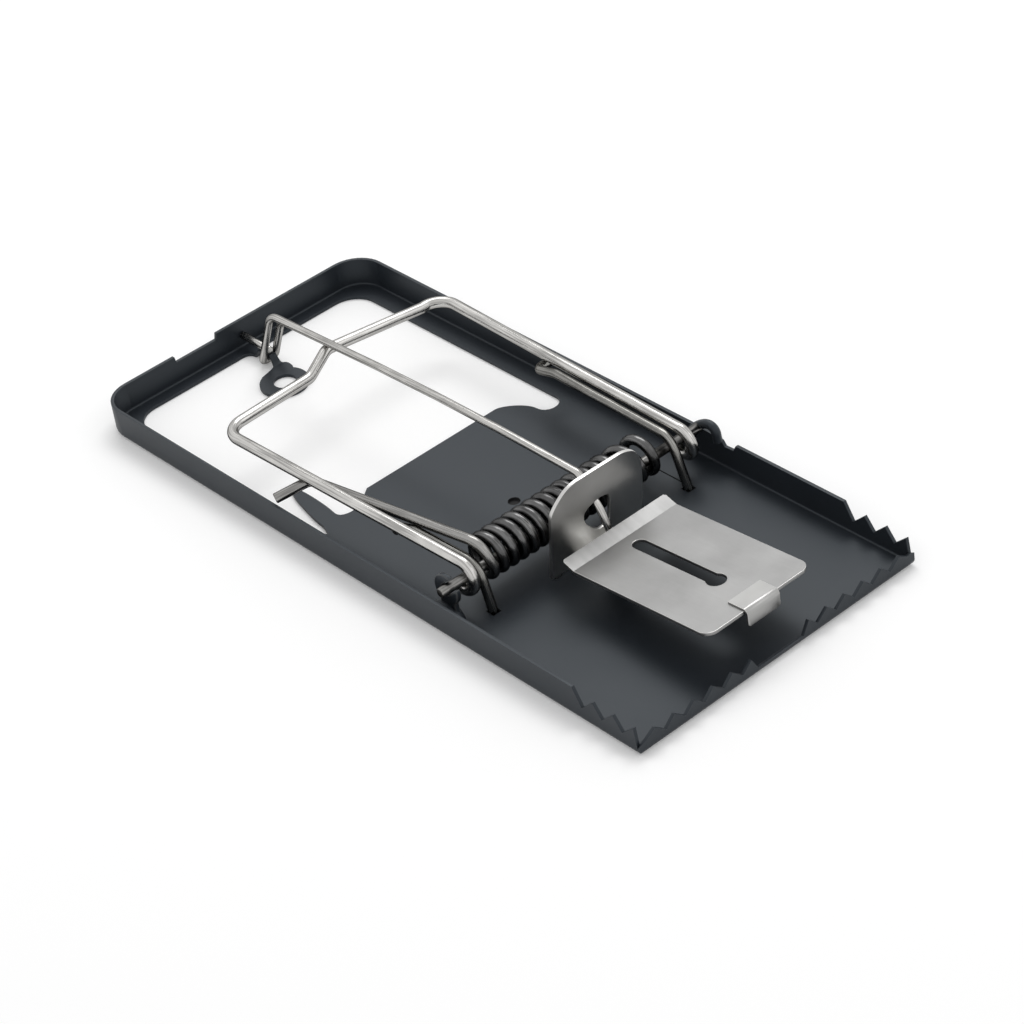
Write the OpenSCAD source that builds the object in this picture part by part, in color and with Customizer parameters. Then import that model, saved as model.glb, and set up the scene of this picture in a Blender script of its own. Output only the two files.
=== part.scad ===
// Snap trap for mice: a pressed steel tray with a sprung wire bail, a trip rod
// and a bait pedal on a catch plate, shown set.
// +X runs from the back wall to the toothed front, +Y from the near long side
// to the far one, +Z up. The origin is the middle of the tray's underside.

/* [Tray] */
// Length of the tray, back wall to front wall
tray_l = 114; // [106:1:130]
// Width of the tray
tray_w = 50; // [48:1:64]
// Height of the side walls and the back wall
wall_h = 4.9; // [4:0.1:5.1]
// Thickness of the pressed sheet
sheet = 0.5; // [0.4:0.05:0.6]
// Outside radius of the two rear corners
rear_corner_r = 5; // [4:0.5:7]
// Width of the strip of deck left behind the window
rear_strip = 2.6; // [2:0.1:4]
// Width of the strip of deck left beside the window
side_strip = 3.6; // [3:0.1:5]
// Straight front edge of the window, measured from the middle of the tray
window_front_x = -13.5; // [-16:0.5:-12]
// Radius of the window's rear corners
window_corner_r = 4; // [2:0.5:6]
// Depth of the low step in the top of the back wall
back_step_d = 1; // [0.5:0.1:1.5]
// Length of the low step in the top of the back wall
back_step_l = 7.7; // [5:0.1:10]

/* [Teeth] */
// Teeth on each side wall
side_teeth = 3; // [2:1:4]
// Spacing of the side wall teeth
side_pitch = 3.7; // [3.2:0.1:4]
// Depth of the side wall teeth
side_tooth_d = 2; // [1.5:0.1:2.4]
// Height of the front wall at its tooth tips
front_tip_h = 2.9; // [2.4:0.1:3.2]
// Depth of the front wall teeth
front_tooth_d = 1.45; // [1:0.05:1.6]
// Teeth on the front wall in each of its two groups
front_teeth = 6; // [4:1:6]
// Spacing of the front wall teeth
front_pitch = 3.4; // [3:0.1:3.5]
// Half the width of the low place between the two groups
gate_half_w = 4.1; // [3:0.1:5]
// Height of the front wall at that low place
gate_h = 0.95; // [0.8:0.05:1.2]

/* [Axle] */
// Diameter of the axle
axle_d = 1.6; // [1.4:0.1:1.8]
// Place of the axle along the tray
axle_x = 18.2; // [17:0.1:19]
// Height of the axle
axle_z = 5.55; // [5.4:0.05:5.8]
// Radius of the lugs around the axle
ear_r = 2.3; // [2:0.1:2.6]
// Radius of the arch on the far wall
arch_ear_r = 3.05; // [2.9:0.05:3.3]

/* [Bail] */
// Diameter of the bail wire
bail_d = 1.5; // [1.3:0.1:1.6]
// Distance from each leg's middle at the axle to the tray's side
leg_inset = 5.5; // [5.2:0.1:6.5]
// Reach of the bail's near leg from the axle back to its corner
bail_reach = 49; // [46:0.1:50]
// Radius of the rings that the legs end in, at the middle of the wire
ring_r = 2.25; // [2.1:0.05:2.35]
// Radius of the bail's two rear corners, at the middle of the wire
bail_corner_r = 3.2; // [2:0.1:4]
// Height of the crossbar's crest, measured along its slope back from the legs
crest_rise = 2.2; // [1.8:0.05:2.3]

/* [Spring] */
// Diameter of the spring wire
spring_d = 1.35; // [1.2:0.05:1.35]
// Mean radius of the coil
coil_r = 2.6; // [2.5:0.05:2.75]
// Turns in the short group at the far end
short_turns = 2; // [1:1:2]
// Spacing of the turns
coil_pitch = 1.8; // [1.78:0.01:1.82]
// Extra spacing between the two groups
group_gap = 2.4; // [1.5:0.1:2.5]
// Distance from the axle back to the hook that lifts the near leg
hook_reach = 34; // [31:0.1:36]

/* [Lift wires] */
// Diameter of the lift wires
lift_d = 1.25; // [1:0.05:1.3]
// Distance from the axle back to the far lift wire's hook
lift_reach_far = 27.2; // [24:0.1:30]
// Distance from the axle back to the near lift wire's hook
lift_reach_near = 14; // [10:0.1:15]

/* [Trip rod] */
// Diameter of the trip rod
rod_d = 1; // [0.8:0.05:1.1]
// Distance that the rod's tip drops below its straight part
rod_drop = 6.2; // [5:0.1:6.5]
// Distance from the tray's back to the loop at the rod's rear end
rod_inset = 6.6; // [6.4:0.1:7]

/* [Trigger] */
// Place of the slots that the catch plate stands in
plate_x = 22.35; // [22:0.05:23]
// Height of the catch plate along its own slope
plate_h = 15.6; // [14.5:0.1:16.5]
// Width of the catch plate
plate_w = 16.4; // [15:0.1:18]
// Forward lean of the catch plate, in degrees
plate_lean = 9.6; // [7:0.1:11]
// Width of the arched window in the catch plate
arch_w = 4.6; // [4:0.1:5]
// Height of the arched window's top above the slots
arch_top = 9.8; // [9.6:0.1:10.4]
// Length of the bait pedal, from its bend to its front edge
pedal_l = 25.2; // [22:0.1:27]
// Width of the bait pedal
pedal_w = 18.8; // [16:0.1:22]
// Height of the pedal's upper face at its bend
pedal_z = 5.83; // [5.6:0.05:6.5]
// Upward slope of the pedal towards the front, in degrees
pedal_slope = 4.6; // [3:0.1:5]
// Length of the pedal's raised rear lip
lip_l = 2.25; // [1.5:0.05:2.6]
// Upward slope of the lip towards the back, in degrees
lip_slope = 19; // [10:1:25]
// Radius of the pedal's front corners
pedal_corner_r = 2; // [1:0.1:3]
// Length of the tab folded down at the pedal's front
tab_drop = 2.3; // [1.5:0.1:2.6]

/* [Hidden] */
$fn = 48;

// Clearance between pieces that slide or turn on each other
play = 0.1;
// Clearance of a round piece in its hole, measured on the radius
fit = 0.05;
// Sideways clearance between neighbouring wires
wire_gap = 0.15;
// Room that a cut runs past the face that it goes through
past = 0.3;

front_x = tray_l / 2;
back_x = -tray_l / 2;
axle_r = axle_d / 2;
bail_r = bail_d / 2;
spring_r = spring_d / 2;
lift_r = lift_d / 2;
rod_r = rod_d / 2;

// The bail's rings hang on the axle and are pulled up against its underside
ring_z = axle_z + ring_r - bail_r - axle_r - play;
leg_z = ring_z + ring_r;
bail_span = tray_w - 2 * leg_inset;
leg_y = bail_span / 2;
ring_turn = 275;

// The legs spread towards the crossbar, which stands a little askew
corner_near = 89.45;
corner_far = 94;
leg_splay = (corner_near + corner_far - 180) / 2;
skew = corner_far - 90 - leg_splay;
crossbar_l = (bail_span + 2 * bail_reach * sin(leg_splay))
    / (cos(skew) - sin(skew) * tan(leg_splay));
far_leg_l = bail_reach + crossbar_l * sin(skew) / cos(leg_splay);

// The crossbar climbs to its crest from the near side, then slopes down to the far leg
crest_tilt = 52.2;
crest_in = 24.82;
crest_out = 7.25;
crest_r = 2.5;
far_run = bail_corner_r + 0.55;
near_run = crossbar_l - far_run - crest_rise / tan(crest_out) - crest_rise / tan(crest_in);
crest_x = axle_x - bail_reach * cos(leg_splay) - crest_rise * cos(crest_tilt)
    - (near_run + crest_rise / tan(crest_in)) * sin(skew);
crest_z = leg_z + crest_rise * sin(crest_tilt);

// The coil hangs the same way
coil_z = axle_z + coil_r - spring_r - axle_r - play;
coil_inset = 3.5;
coil_far_inset = 4.2;
coil_start_y = coil_inset - leg_y;
coil_turns = floor((bail_span - coil_inset - coil_far_inset - group_gap) / coil_pitch);
long_turns = coil_turns - short_turns;
function coil_y(turn) = coil_start_y + coil_pitch * turn
    + group_gap * min(1, max(0, turn - long_turns + 0.5));
coil_end_y = coil_y(coil_turns);
hook_x = axle_x - hook_reach;
hook_z = leg_z - bail_r - spring_r - play;
hook_tip_y = -tray_w / 2 + spring_r;
anchor_x = axle_x - coil_r - spring_d - 1.2;
anchor_hole = spring_d + 2 * play;

lift_y = leg_y - bail_r - wire_gap - lift_r;
lift_z = axle_z + axle_r + lift_r + 3 * play;
lift_drop = 0.6;
lift_hook_z = lift_z - lift_drop;
lift_foot_x = axle_x + 3.9;
lift_top_r = 2;
lift_dip_r = 3;
lift_hook_r = 1.1;
stub_near = 1.25;
stub_far = 4;
lift_rise = 69.6;
lift_dip = 14.79;
lift_foot_z = play + lift_r * cos(lift_rise);
function lift_run(reach) = reach + lift_foot_x - axle_x - (lift_z - lift_foot_z) / tan(lift_rise)
    - lift_drop / tan(lift_dip);

// The neck of the rear tongue is pressed up so that the rod's loop passes under it
neck_w = 1.1;
neck_y = 1.15;
neck_gap = rod_d + 2 * play;
loop_z = play + rod_r;
rod_pivot_x = back_x + rod_inset;
loop_w = neck_w + 2 * play + rod_d;
neck_top = neck_gap + sheet;
rod_y = neck_y - loop_w / 2;
rod_lean = 62.47;
tip_bend = 49.5;
tail_l = 3;
tail_h = 7.3;
// The bail's pull bows the rod upwards between its loop and the catch plate
rod_slope = 3.25;
rod_bow = 1.25;
bow_step = 13;
bow_x = -21;
crossing_z = crest_z + bail_r + rod_r;
rod_h = (crossing_z - loop_z) * cos(rod_slope) - (crest_x - rod_pivot_x) * sin(rod_slope);
bow_z = crossing_z + (bow_x - crest_x) * tan(rod_slope);
rear_run = (bow_x - rod_pivot_x) * cos(rod_slope) + (bow_z - loop_z) * sin(rod_slope)
    - rod_h / tan(rod_lean);
front_run = (plate_x - 1.6 - bow_x - bow_step * (cos(rod_slope - rod_bow) + cos(rod_slope - 2 * rod_bow)))
    / cos(3 * rod_bow - rod_slope);

// The trigger turns on the line where its tabs stand in the deck's slots
pivot_z = 0.3;
pedal_back_x = plate_x + 6.45;
pedal_front_x = pedal_back_x + pedal_l * cos(pedal_slope);
pedal_front_z = pedal_z + pedal_l * sin(pedal_slope);
function pedal_top(x) = pedal_z + (x - pedal_back_x) * tan(pedal_slope);

// Round bend of radius b that leaves +Z and turns towards +X
module bend(b, angle, r) translate([b, 0, 0]) rotate([90, 0, 180])
    rotate_extrude(angle = angle) translate([b, 0]) circle(r);

// Length that a bend takes off the straight wire on each side of it
function trim(s) = len(s) > 1 ? s[1] * tan(s[2] / 2) : 0;

// Wire that starts along +Z. Each step is the length from corner to corner, then the bend's
// radius, its angle and its roll about the wire; the last step is a length alone.
module wire(steps, r, i = 0) {
    s = steps[i];
    length = s[0] - (i > 0 ? trim(steps[i - 1]) : 0) - trim(s);
    cylinder(h = length, r = r);
    translate([0, 0, length])
        if (len(s) > 1) rotate([0, 0, s[3]]) {
            bend(s[1], s[2], r);
            translate([s[1], 0, 0]) rotate([0, s[2], 0]) translate([-s[1], 0, 0])
                wire(steps, r, i + 1) children();
        } else children();
}

// Flat outline of the tray, drawn in by t all round
module tray_outline(t) {
    r = rear_corner_r - t;
    w = tray_w / 2 - t;
    translate([back_x + t + r, -w]) square([tray_l - 2 * t - r, 2 * w]);
    translate([back_x + t, -w + r]) square([r + past, 2 * (w - r)]);
    for (side = [-1, 1])
        translate([back_x + t + r, side * (w - r)]) circle(r);
}

// Window in the rear half of the deck
window_back_x = back_x + rear_strip;
window_w = tray_w - 2 * side_strip;
lobe_w = 3.9;
module window_outline() {
    r = window_corner_r;
    w = window_w / 2;
    translate([window_back_x + r, -w]) square([window_front_x - window_back_x - r, 2 * w]);
    translate([window_back_x, -w + r]) square([r + past, 2 * (w - r)]);
    for (side = [-1, 1])
        translate([window_back_x + r, side * (w - r)]) circle(r);
    // Far lobe
    lobe_x = window_front_x + 4.5;
    translate([window_front_x - past, w - lobe_w]) square([lobe_x - window_front_x + past, lobe_w]);
    translate([lobe_x, w - lobe_w / 2]) circle(lobe_w / 2);
    polygon([[window_front_x - past, w - lobe_w - 2.8], [window_front_x, w - lobe_w - 2.8],
        [window_front_x + 1.8, w - lobe_w - 1], [lobe_x, w - lobe_w], [window_front_x - past, w - lobe_w]]);
    // Near pocket, on both sides of the finger
    translate([window_front_x + 0.6, -w + 6]) circle(2);
    polygon([[window_front_x - past, -w + 10.5], [window_front_x, -w + 10.5],
        [window_front_x + 2.4, -w + 6.8], [window_front_x, -w + 4.6], [window_front_x - past, -w + 4.6]]);
    polygon([[window_front_x - past, -w], [window_front_x + 1.5, -w], [window_front_x + 4, -w + 0.5],
        [window_front_x + 1.6, -w + 1.4], [window_front_x - past, -w + 1.7]]);
}

// Finger of deck that points back under the spring's hook
module finger_outline() {
    w = window_w / 2;
    x = window_front_x;
    polygon([[x + past, -w + 4.4], [x - 2.5, -w + 4.5], [x - 6.3, -w + 4.6], [x - 8.8, -w + 4.3],
        [x - 6.8, -w + 3], [x - 3.5, -w + 2.2], [x + past, -w + 1.4]]);
}

// Tongue at the back of the window, with a round hole
tongue_x = back_x + 13.1;
tongue_y = -1.2;
tongue_r = 3.7;
module tongue_outline() {
    flare_r = 1.3;
    difference() {
        union() {
            translate([window_back_x - past, neck_y - neck_w / 2])
                square([tongue_x - window_back_x, neck_w]);
            translate([tongue_x, tongue_y]) circle(tongue_r);
            translate([window_back_x - past, neck_y - neck_w / 2 - flare_r])
                square([flare_r + past, neck_w + 2 * flare_r]);
        }
        translate([tongue_x + 0.3, tongue_y + 0.4]) circle(1.9);
        for (side = [-1, 1])
            translate([window_back_x + flare_r, neck_y + side * (neck_w / 2 + flare_r)])
                circle(flare_r);
    }
}

// Side view of the tongue: flat, pressed up at the neck, flat again
module tongue_profile() {
    rise = neck_gap;
    ramp = 1.1;
    a = rod_pivot_x - rod_r - 1;
    b = rod_pivot_x + rod_r + 0.6;
    polygon([[window_back_x - past, 0], [a - ramp, 0], [a, rise], [b, rise], [b + ramp, 0],
        [tongue_x + tongue_r + past, 0], [tongue_x + tongue_r + past, sheet], [b + ramp + sheet / 3, sheet],
        [b + sheet / 3, rise + sheet], [a - sheet / 3, rise + sheet], [a - ramp - sheet / 3, sheet],
        [window_back_x - past, sheet]]);
}

// Slots that the lift wires, the catch plate and the spring's end stand in
slot_w = lift_d + 2 * play;
function slot_l(side) = side > 0 ? 7.2 : 1.8;
tab_w = 2;
tab_slot = sheet + 6 * play;
module deck_slots() {
    for (side = [-1, 1]) {
        beside_leg(side) translate([lift_foot_x - axle_x + lift_r + play - slot_l(side), -slot_w / 2])
            square([slot_l(side), slot_w]);
        translate([plate_x - tab_slot / 2, side * (plate_w - tab_w) / 2 - tab_w / 2 - play])
            square([tab_slot, tab_w + 2 * play]);
    }
    translate([anchor_x - anchor_hole / 2, coil_end_y - anchor_hole / 2]) square(anchor_hole);
    translate([window_front_x + 17.4, -0.6]) square([2.2, 1.8]);
}

// Material above the sawtooth edge of a side wall, in side view
module side_wall_cut() {
    last = front_x + past;
    first = front_x - side_teeth * side_pitch - 0.9;
    fall = 0.4 * side_pitch;
    teeth = [for (i = [0 : side_teeth - 1])
        for (q = [[first + i * side_pitch, wall_h - (i == 0 ? 0 : 0.7)],
            [first + i * side_pitch + fall, wall_h - side_tooth_d - 0.7]]) q];
    polygon(concat(teeth, [[front_x - 0.9, wall_h - 0.8], [front_x - sheet, gate_h],
        [last, gate_h], [last, wall_h + past], [first, wall_h + past]]));
}

// Material above the toothed edge of the front wall, seen along the tray
module front_wall_cut() {
    half = tray_w / 2;
    row = [for (i = [0 : front_teeth - 1])
        for (q = [[gate_half_w + 1.1 + i * front_pitch, front_tip_h],
            [gate_half_w + 1.1 + i * front_pitch + 0.47 * front_pitch,
                i == front_teeth - 1 ? (front_tip_h + gate_h) / 2 : front_tip_h - front_tooth_d]]) q];
    far = concat([[gate_half_w, gate_h]], row, [[half + past, gate_h]]);
    near = [for (i = [len(far) - 1 : -1 : 0]) [-far[i].x, far[i].y]];
    polygon(concat(near, far, [[half + past, wall_h + past], [-half - past, wall_h + past]]));
}

// Pressed steel tray
module base_tray() color([0.16, 0.17, 0.18]) {
    difference() {
        union() {
            difference() {
                linear_extrude(wall_h) tray_outline(0);
                translate([0, 0, sheet]) linear_extrude(wall_h) tray_outline(sheet);
            }
            far_arch();
            near_lug();
        }
        translate([0, 0, -past]) linear_extrude(sheet + 2 * past) difference() {
            window_outline();
            finger_outline();
            tongue_outline();
        }
        translate([0, 0, -past]) linear_extrude(sheet + 2 * past) deck_slots();
        // The flat deck under the tongue's pressed-up neck
        translate([window_back_x, -window_w / 4, -past])
            cube([tongue_x + tongue_r + 0.2 - window_back_x, window_w / 2, sheet + 2 * past]);
        for (side = [-1, 1])
            translate([0, side * (tray_w / 2 - sheet / 2) + (sheet / 2 + past), 0])
                rotate([90, 0, 0]) linear_extrude(sheet + 2 * past) side_wall_cut();
        translate([front_x - sheet - past, 0, 0])
            rotate([90, 0, 90]) linear_extrude(sheet + 2 * past) front_wall_cut();
        translate([back_x - past, -3.3 - back_step_l, wall_h - back_step_d])
            cube([sheet + 2 * past, back_step_l, back_step_d + past]);
        // Relief notch in the far wall beside the arch
        translate([axle_x + arch_ear_r + 0.8, tray_w / 2 - sheet - past, wall_h - 1.1])
            cube([2.6, sheet + 2 * past, 1.1 + past]);
        translate([axle_x, tray_w / 2 + past, axle_z])
            rotate([90, 0, 0]) cylinder(h = tray_w, r = axle_r + fit);
    }
    tongue();
}

module tongue() intersection() {
    translate([0, tray_w / 2, 0]) rotate([90, 0, 0]) linear_extrude(tray_w) tongue_profile();
    linear_extrude(neck_top + past) tongue_outline();
}

// Arch on the far wall over the axle's end, with a rolled rim inside
module far_arch() {
    rim_l = 0.9;
    arch_z = axle_z + axle_r + sheet + 0.25 - arch_ear_r;
    translate([axle_x + 0.8, tray_w / 2, arch_z]) rotate([90, 0, 0]) {
        cylinder(h = sheet, r = arch_ear_r);
        difference() {
            cylinder(h = sheet + rim_l, r = arch_ear_r);
            translate([0, 0, -past]) cylinder(h = sheet + rim_l + 2 * past, r = arch_ear_r - sheet);
            translate([-2 * arch_ear_r, -2 * arch_ear_r, -past])
                cube([4 * arch_ear_r, 2 * arch_ear_r, sheet + rim_l + 2 * past]);
        }
    }
}

// Lug pressed up from the deck on the near side, with the axle's end standing out of it
near_lug_y = -tray_w / 2 + 3.2;
module near_lug() translate([axle_x, near_lug_y, 0]) rotate([90, 0, 0]) linear_extrude(sheet) {
    translate([0, axle_z]) circle(ear_r);
    translate([-ear_r, 0]) square([2 * ear_r, axle_z]);
}

// Plain round axle between the two ears
module axle() color([0.6, 0.6, 0.6])
    translate([axle_x, tray_w / 2 - play, axle_z]) rotate([90, 0, 0])
        cylinder(h = tray_w - 1.5, r = axle_r);

// Wire bail: two legs, a crossbar with a crest for the trip rod, a ring at each end
module bail() color([0.8, 0.8, 0.79])
    translate([axle_x, -leg_y, leg_z]) rotate([0, 0, leg_splay]) rotate([0, -90, 0])
        rotate([0, 0, 90]) {
            rotate([180, 0, 90]) bend(ring_r, ring_turn, bail_r);
            wire([[bail_reach, bail_corner_r, corner_near, 0],
                [near_run, crest_r, crest_in, crest_tilt - 180],
                [crest_rise / sin(crest_in), crest_r, crest_in + crest_out, 180],
                [crest_rise / sin(crest_out), crest_r, crest_out, 180],
                [far_run, bail_corner_r, corner_far, 180 - crest_tilt],
                [far_leg_l]], bail_r)
                rotate([0, 0, 90]) bend(ring_r, ring_turn, bail_r);
        }

function aim(a, b) = (b - a) / norm(b - a);

// Points on a round bend of radius b at the corner q, in n steps
function corner(p, q, s, b, n) =
    let (d1 = aim(p, q), d2 = aim(q, s), a = acos(d1 * d2), out = d2 - (d2 * d1) * d1,
        m = out / norm(out), c = q - d1 * b * tan(a / 2) + m * b)
    [for (i = [0 : n]) c + b * (sin(a * i / n) * d1 - cos(a * i / n) * m)];

// Route of the spring: hook under the near leg, arm, two groups of turns, end in the deck
ring_steps = 8;
hook_tip = [hook_x, hook_tip_y, hook_z - 1.2];
hook_bend = [hook_x + 2, -leg_y + 0.2, hook_z];
arm_end = [axle_x, coil_start_y, coil_z + coil_r];
arm_turn = [axle_x - 3.5, coil_start_y - 0.1, coil_z + coil_r];
function coil_point(turn) =
    [axle_x + coil_r * sin(360 * turn), coil_y(turn), coil_z + coil_r * cos(360 * turn)];
coil_stop = coil_turns - 0.5;
coil_foot = coil_point(coil_stop);
foot_bend = [anchor_x, coil_end_y, coil_foot.z];
foot_tip = [anchor_x, coil_end_y, play];
spring_route = concat([hook_tip, (hook_tip + hook_bend) / 2], corner(hook_tip, hook_bend, arm_turn, 1.5, 4),
    [(hook_bend + arm_turn) / 2], corner(hook_bend, arm_turn, arm_end, 6, 2),
    [for (i = [0 : ring_steps * coil_stop]) coil_point(i / ring_steps)],
    corner(coil_foot, foot_bend, foot_tip, 1.2, 3), [foot_tip]);

// Closest that the coil's turns come to each other, on the points of the route
coil_list = [for (i = [0 : ring_steps * coil_stop]) coil_point(i / ring_steps)];
coil_gap = min([for (i = [0 : len(coil_list) - 1], j = [i + 5 : 1 : min(len(coil_list) - 1, i + 12)])
    norm(coil_list[i] - coil_list[j])]) - spring_d;
echo(least_gap_between_turns = coil_gap);

function square_to(u, t) = let (v = u - (u * t) * t) v / norm(v);
function tangent(p, i) = aim(p[max(0, i - 1)], p[min(len(p) - 1, i + 1)]);

// Tube along the points p with six sides
module tube(p, r) {
    sides = 6;
    last = len(p) - 1;
    ups = [for (i = 0, u = square_to([0, 0, 1], tangent(p, 0)); i <= last;
        i = i + 1, u = square_to(u, tangent(p, min(i, last)))) u];
    rings = [for (i = [0 : last]) let (t = tangent(p, i), u = ups[i], v = cross(t, u))
        for (k = [0 : sides - 1]) p[i] + r * (cos(360 * k / sides) * u + sin(360 * k / sides) * v)];
    walls = [for (i = [0 : last - 1], k = [0 : sides - 1])
        let (a = i * sides + k, b = i * sides + (k + 1) % sides)
        for (f = [[a, b, b + sides], [a, b + sides, a + sides]]) f];
    starts = [for (k = [1 : sides - 2]) [0, k + 1, k]];
    ends = [for (k = [1 : sides - 2]) [last * sides, last * sides + k, last * sides + k + 1]];
    polyhedron(concat(rings), [for (f = concat(walls, starts, ends)) [f[0], f[2], f[1]]]);
}

// Wound wire spring round the axle, its arm hooked under the bail's near leg
module torsion_spring() color([0.33, 0.33, 0.33]) tube(spring_route, spring_r);

// Puts what it holds beside a bail leg at the axle, in line with that leg
module beside_leg(side) translate([axle_x, side * lift_y, 0]) rotate([0, 0, -side * leg_splay])
    children();

// Wire from a slot in the deck, over the axle and along a bail leg, hooked out under the leg
module lift_wire(side, reach, stub) color([0.7, 0.7, 0.69])
    beside_leg(side) translate([lift_foot_x - axle_x, 0, lift_foot_z])
        rotate([0, lift_rise - 90, 0]) rotate([0, 0, 180])
            wire([[(lift_z - lift_foot_z) / sin(lift_rise), lift_top_r, lift_rise, 0],
                [lift_run(reach), lift_dip_r, lift_dip, 0],
                [lift_drop / sin(lift_dip), lift_hook_r, 90, -90 * side],
                [stub]], lift_r);
module lift_wire_near() lift_wire(-1, lift_reach_near, stub_near);
module lift_wire_far() lift_wire(1, lift_reach_far, stub_far);

// Trip rod: tail and loop round the tongue's neck, straight run over the crossbar, tip
module trip_rod() color([0.78, 0.78, 0.77])
    translate([rod_pivot_x, rod_y + loop_w, loop_z]) rotate([0, -rod_slope, 0])
        translate([tail_h / tan(rod_lean) + tail_l, 0, tail_h]) rotate([0, -90, 0])
            rotate([0, 0, 180])
                wire([[tail_l, 1.4, rod_lean, 0],
                    [tail_h / sin(rod_lean), 0.7, 90, 90],
                    [loop_w, 0.7, 90, 0],
                    [rod_h / sin(rod_lean), 1.8, rod_lean, -90],
                    [rear_run, 3, rod_bow, 0],
                    [bow_step, 3, rod_bow, 0],
                    [bow_step, 3, rod_bow, 0],
                    [front_run, 1.5, tip_bend, 0],
                    [rod_drop / sin(tip_bend)]], rod_r);

// Short pin laid on the tongue's neck inside the rod's loop
pin_front_x = rod_pivot_x + 0.8;
module keeper_pin() color([0.66, 0.66, 0.64])
    translate([pin_front_x, neck_y, neck_top + rod_r]) rotate([0, -90, 0])
        cylinder(h = pin_front_x - back_x - sheet - 2 * play, r = rod_r);

// Outline of the catch plate in its own plane, foot at the slots
module plate_outline() {
    half = plate_w / 2;
    top_half = 4.45;
    shoulder = plate_h - 4.2;
    arch_r = arch_w / 2;
    arch_z = arch_top - arch_r;
    difference() {
        union() {
            polygon([[-half, 0.5], [half, 0.5], [half, shoulder], [half - 1, shoulder + 2.1],
                [top_half, plate_h], [-top_half, plate_h], [-half + 1, shoulder + 2.1], [-half, shoulder]]);
            for (side = [-1, 1])
                translate([side * (plate_w - tab_w) / 2 - tab_w / 2, -pivot_z + play]) square([tab_w, 1]);
        }
        translate([0, arch_z]) circle(arch_r);
        translate([-arch_r, arch_z - 2.6]) square([arch_w, 2.6]);
    }
}

// Upright catch plate with the strip that runs forward under the pedal
strip_w = 6;
strip_slot_w = 2.2;
module catch_plate() color([0.72, 0.72, 0.71]) {
    translate([plate_x, 0, pivot_z]) rotate([0, plate_lean, 0]) rotate([90, 0, 90])
        translate([0, 0, -sheet / 2]) linear_extrude(sheet) plate_outline();
    difference() {
        translate([0, strip_w / 2, 0]) rotate([90, 0, 0]) linear_extrude(strip_w) strip_profile();
        translate([pedal_back_x + 1.6, -strip_slot_w / 2, 0])
            cube([pedal_l - 8.5, strip_slot_w, pedal_front_z]);
    }
}

// Side view of the strip: out of the plate, up to the pedal and along its underside
module strip_profile() {
    low = 1.35;
    start = plate_x + low * tan(plate_lean) - sheet / 4;
    knee = plate_x + 2.1;
    join = pedal_back_x + 0.3;
    end = pedal_front_x - 4;
    polygon([[start, low - 0.1], [knee, low - 0.1], [join + 0.4, pedal_top(join) - 2 * sheet],
        [end, pedal_top(end) - 2 * sheet], [end, pedal_top(end) - sheet], [join, pedal_top(join) - sheet],
        [knee - 0.3, low + sheet - 0.1], [start, low + sheet - 0.1]]);
}

// Outline of the pedal seen from above, without its tab
module pedal_outline() {
    r = pedal_corner_r;
    half = pedal_w / 2;
    length = pedal_front_x - pedal_back_x;
    translate([-lip_l, -half]) square([lip_l + length - r, pedal_w]);
    translate([length - r - past, -half + r]) square([r + past, pedal_w - 2 * r]);
    for (side = [-1, 1]) translate([length - r, side * (half - r)]) circle(r);
}

// Keyhole slot in the pedal
module keyhole() {
    slot = 2.2;
    front = pedal_l - 8.5;
    for (x = [3.1, front]) translate([x, 0]) circle(slot / 2);
    translate([3.1, -slot / 2]) square([front - 3.1, slot]);
    translate([front, 0]) circle(1.5);
}

// Side view of the pedal: raised lip and sloping plate
module pedal_profile() {
    x = pedal_back_x;
    lip_x = x - lip_l * cos(lip_slope);
    lip_z = pedal_z + lip_l * sin(lip_slope);
    polygon([[lip_x, lip_z], [x, pedal_z], [pedal_front_x, pedal_front_z],
        [pedal_front_x, pedal_front_z - sheet], [x, pedal_z - sheet], [lip_x, lip_z - sheet]]);
}

// Side view of the tab folded down at the pedal's front
module tab_profile() {
    x = pedal_front_x;
    z = pedal_front_z;
    r = 0.35;
    translate([x - past, z - sheet]) square([past + r, sheet]);
    translate([x + r + 0.15, z - tab_drop]) square([sheet, tab_drop - r - 0.15]);
    translate([x + r, z - r - 0.15]) intersection() {
        difference() {
            circle(r + 0.15 + 0.15);
            circle(0.15);
        }
        square(2);
    }
}

// Bait pedal held on the catch plate's strip
module bait_pedal() color([0.8, 0.79, 0.77]) {
    tab = 5.8;
    difference() {
        intersection() {
            translate([0, tray_w / 2, 0]) rotate([90, 0, 0]) linear_extrude(tray_w) pedal_profile();
            translate([pedal_back_x, 0, 0]) linear_extrude(3 * pedal_z) pedal_outline();
        }
        translate([pedal_back_x, 0, 0]) linear_extrude(3 * pedal_z) keyhole();
    }
    translate([0, tab / 2, 0]) rotate([90, 0, 0]) linear_extrude(tab) tab_profile();
    ridge_x = pedal_front_x - 3.3;
    translate([ridge_x, 0, pedal_top(ridge_x) - 0.15]) rotate([90, 0, 0])
        cylinder(h = tab, r = 0.4, center = true);
}

base_tray();
axle();
bail();
torsion_spring();
lift_wire_near();
lift_wire_far();
trip_rod();
keeper_pin();
catch_plate();
bait_pedal();
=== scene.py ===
# %% [markdown]
# A set mouse trap, piece by piece. Each step first says what a piece is on the
# real trap, then how it could be made in Blender, then why it is made this way.
# Lengths are written in millimetres and turned into metres when a mesh is made.

# %% Load the frame
import math

import bmesh
import bpy
from mathutils import Matrix, Vector


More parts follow.
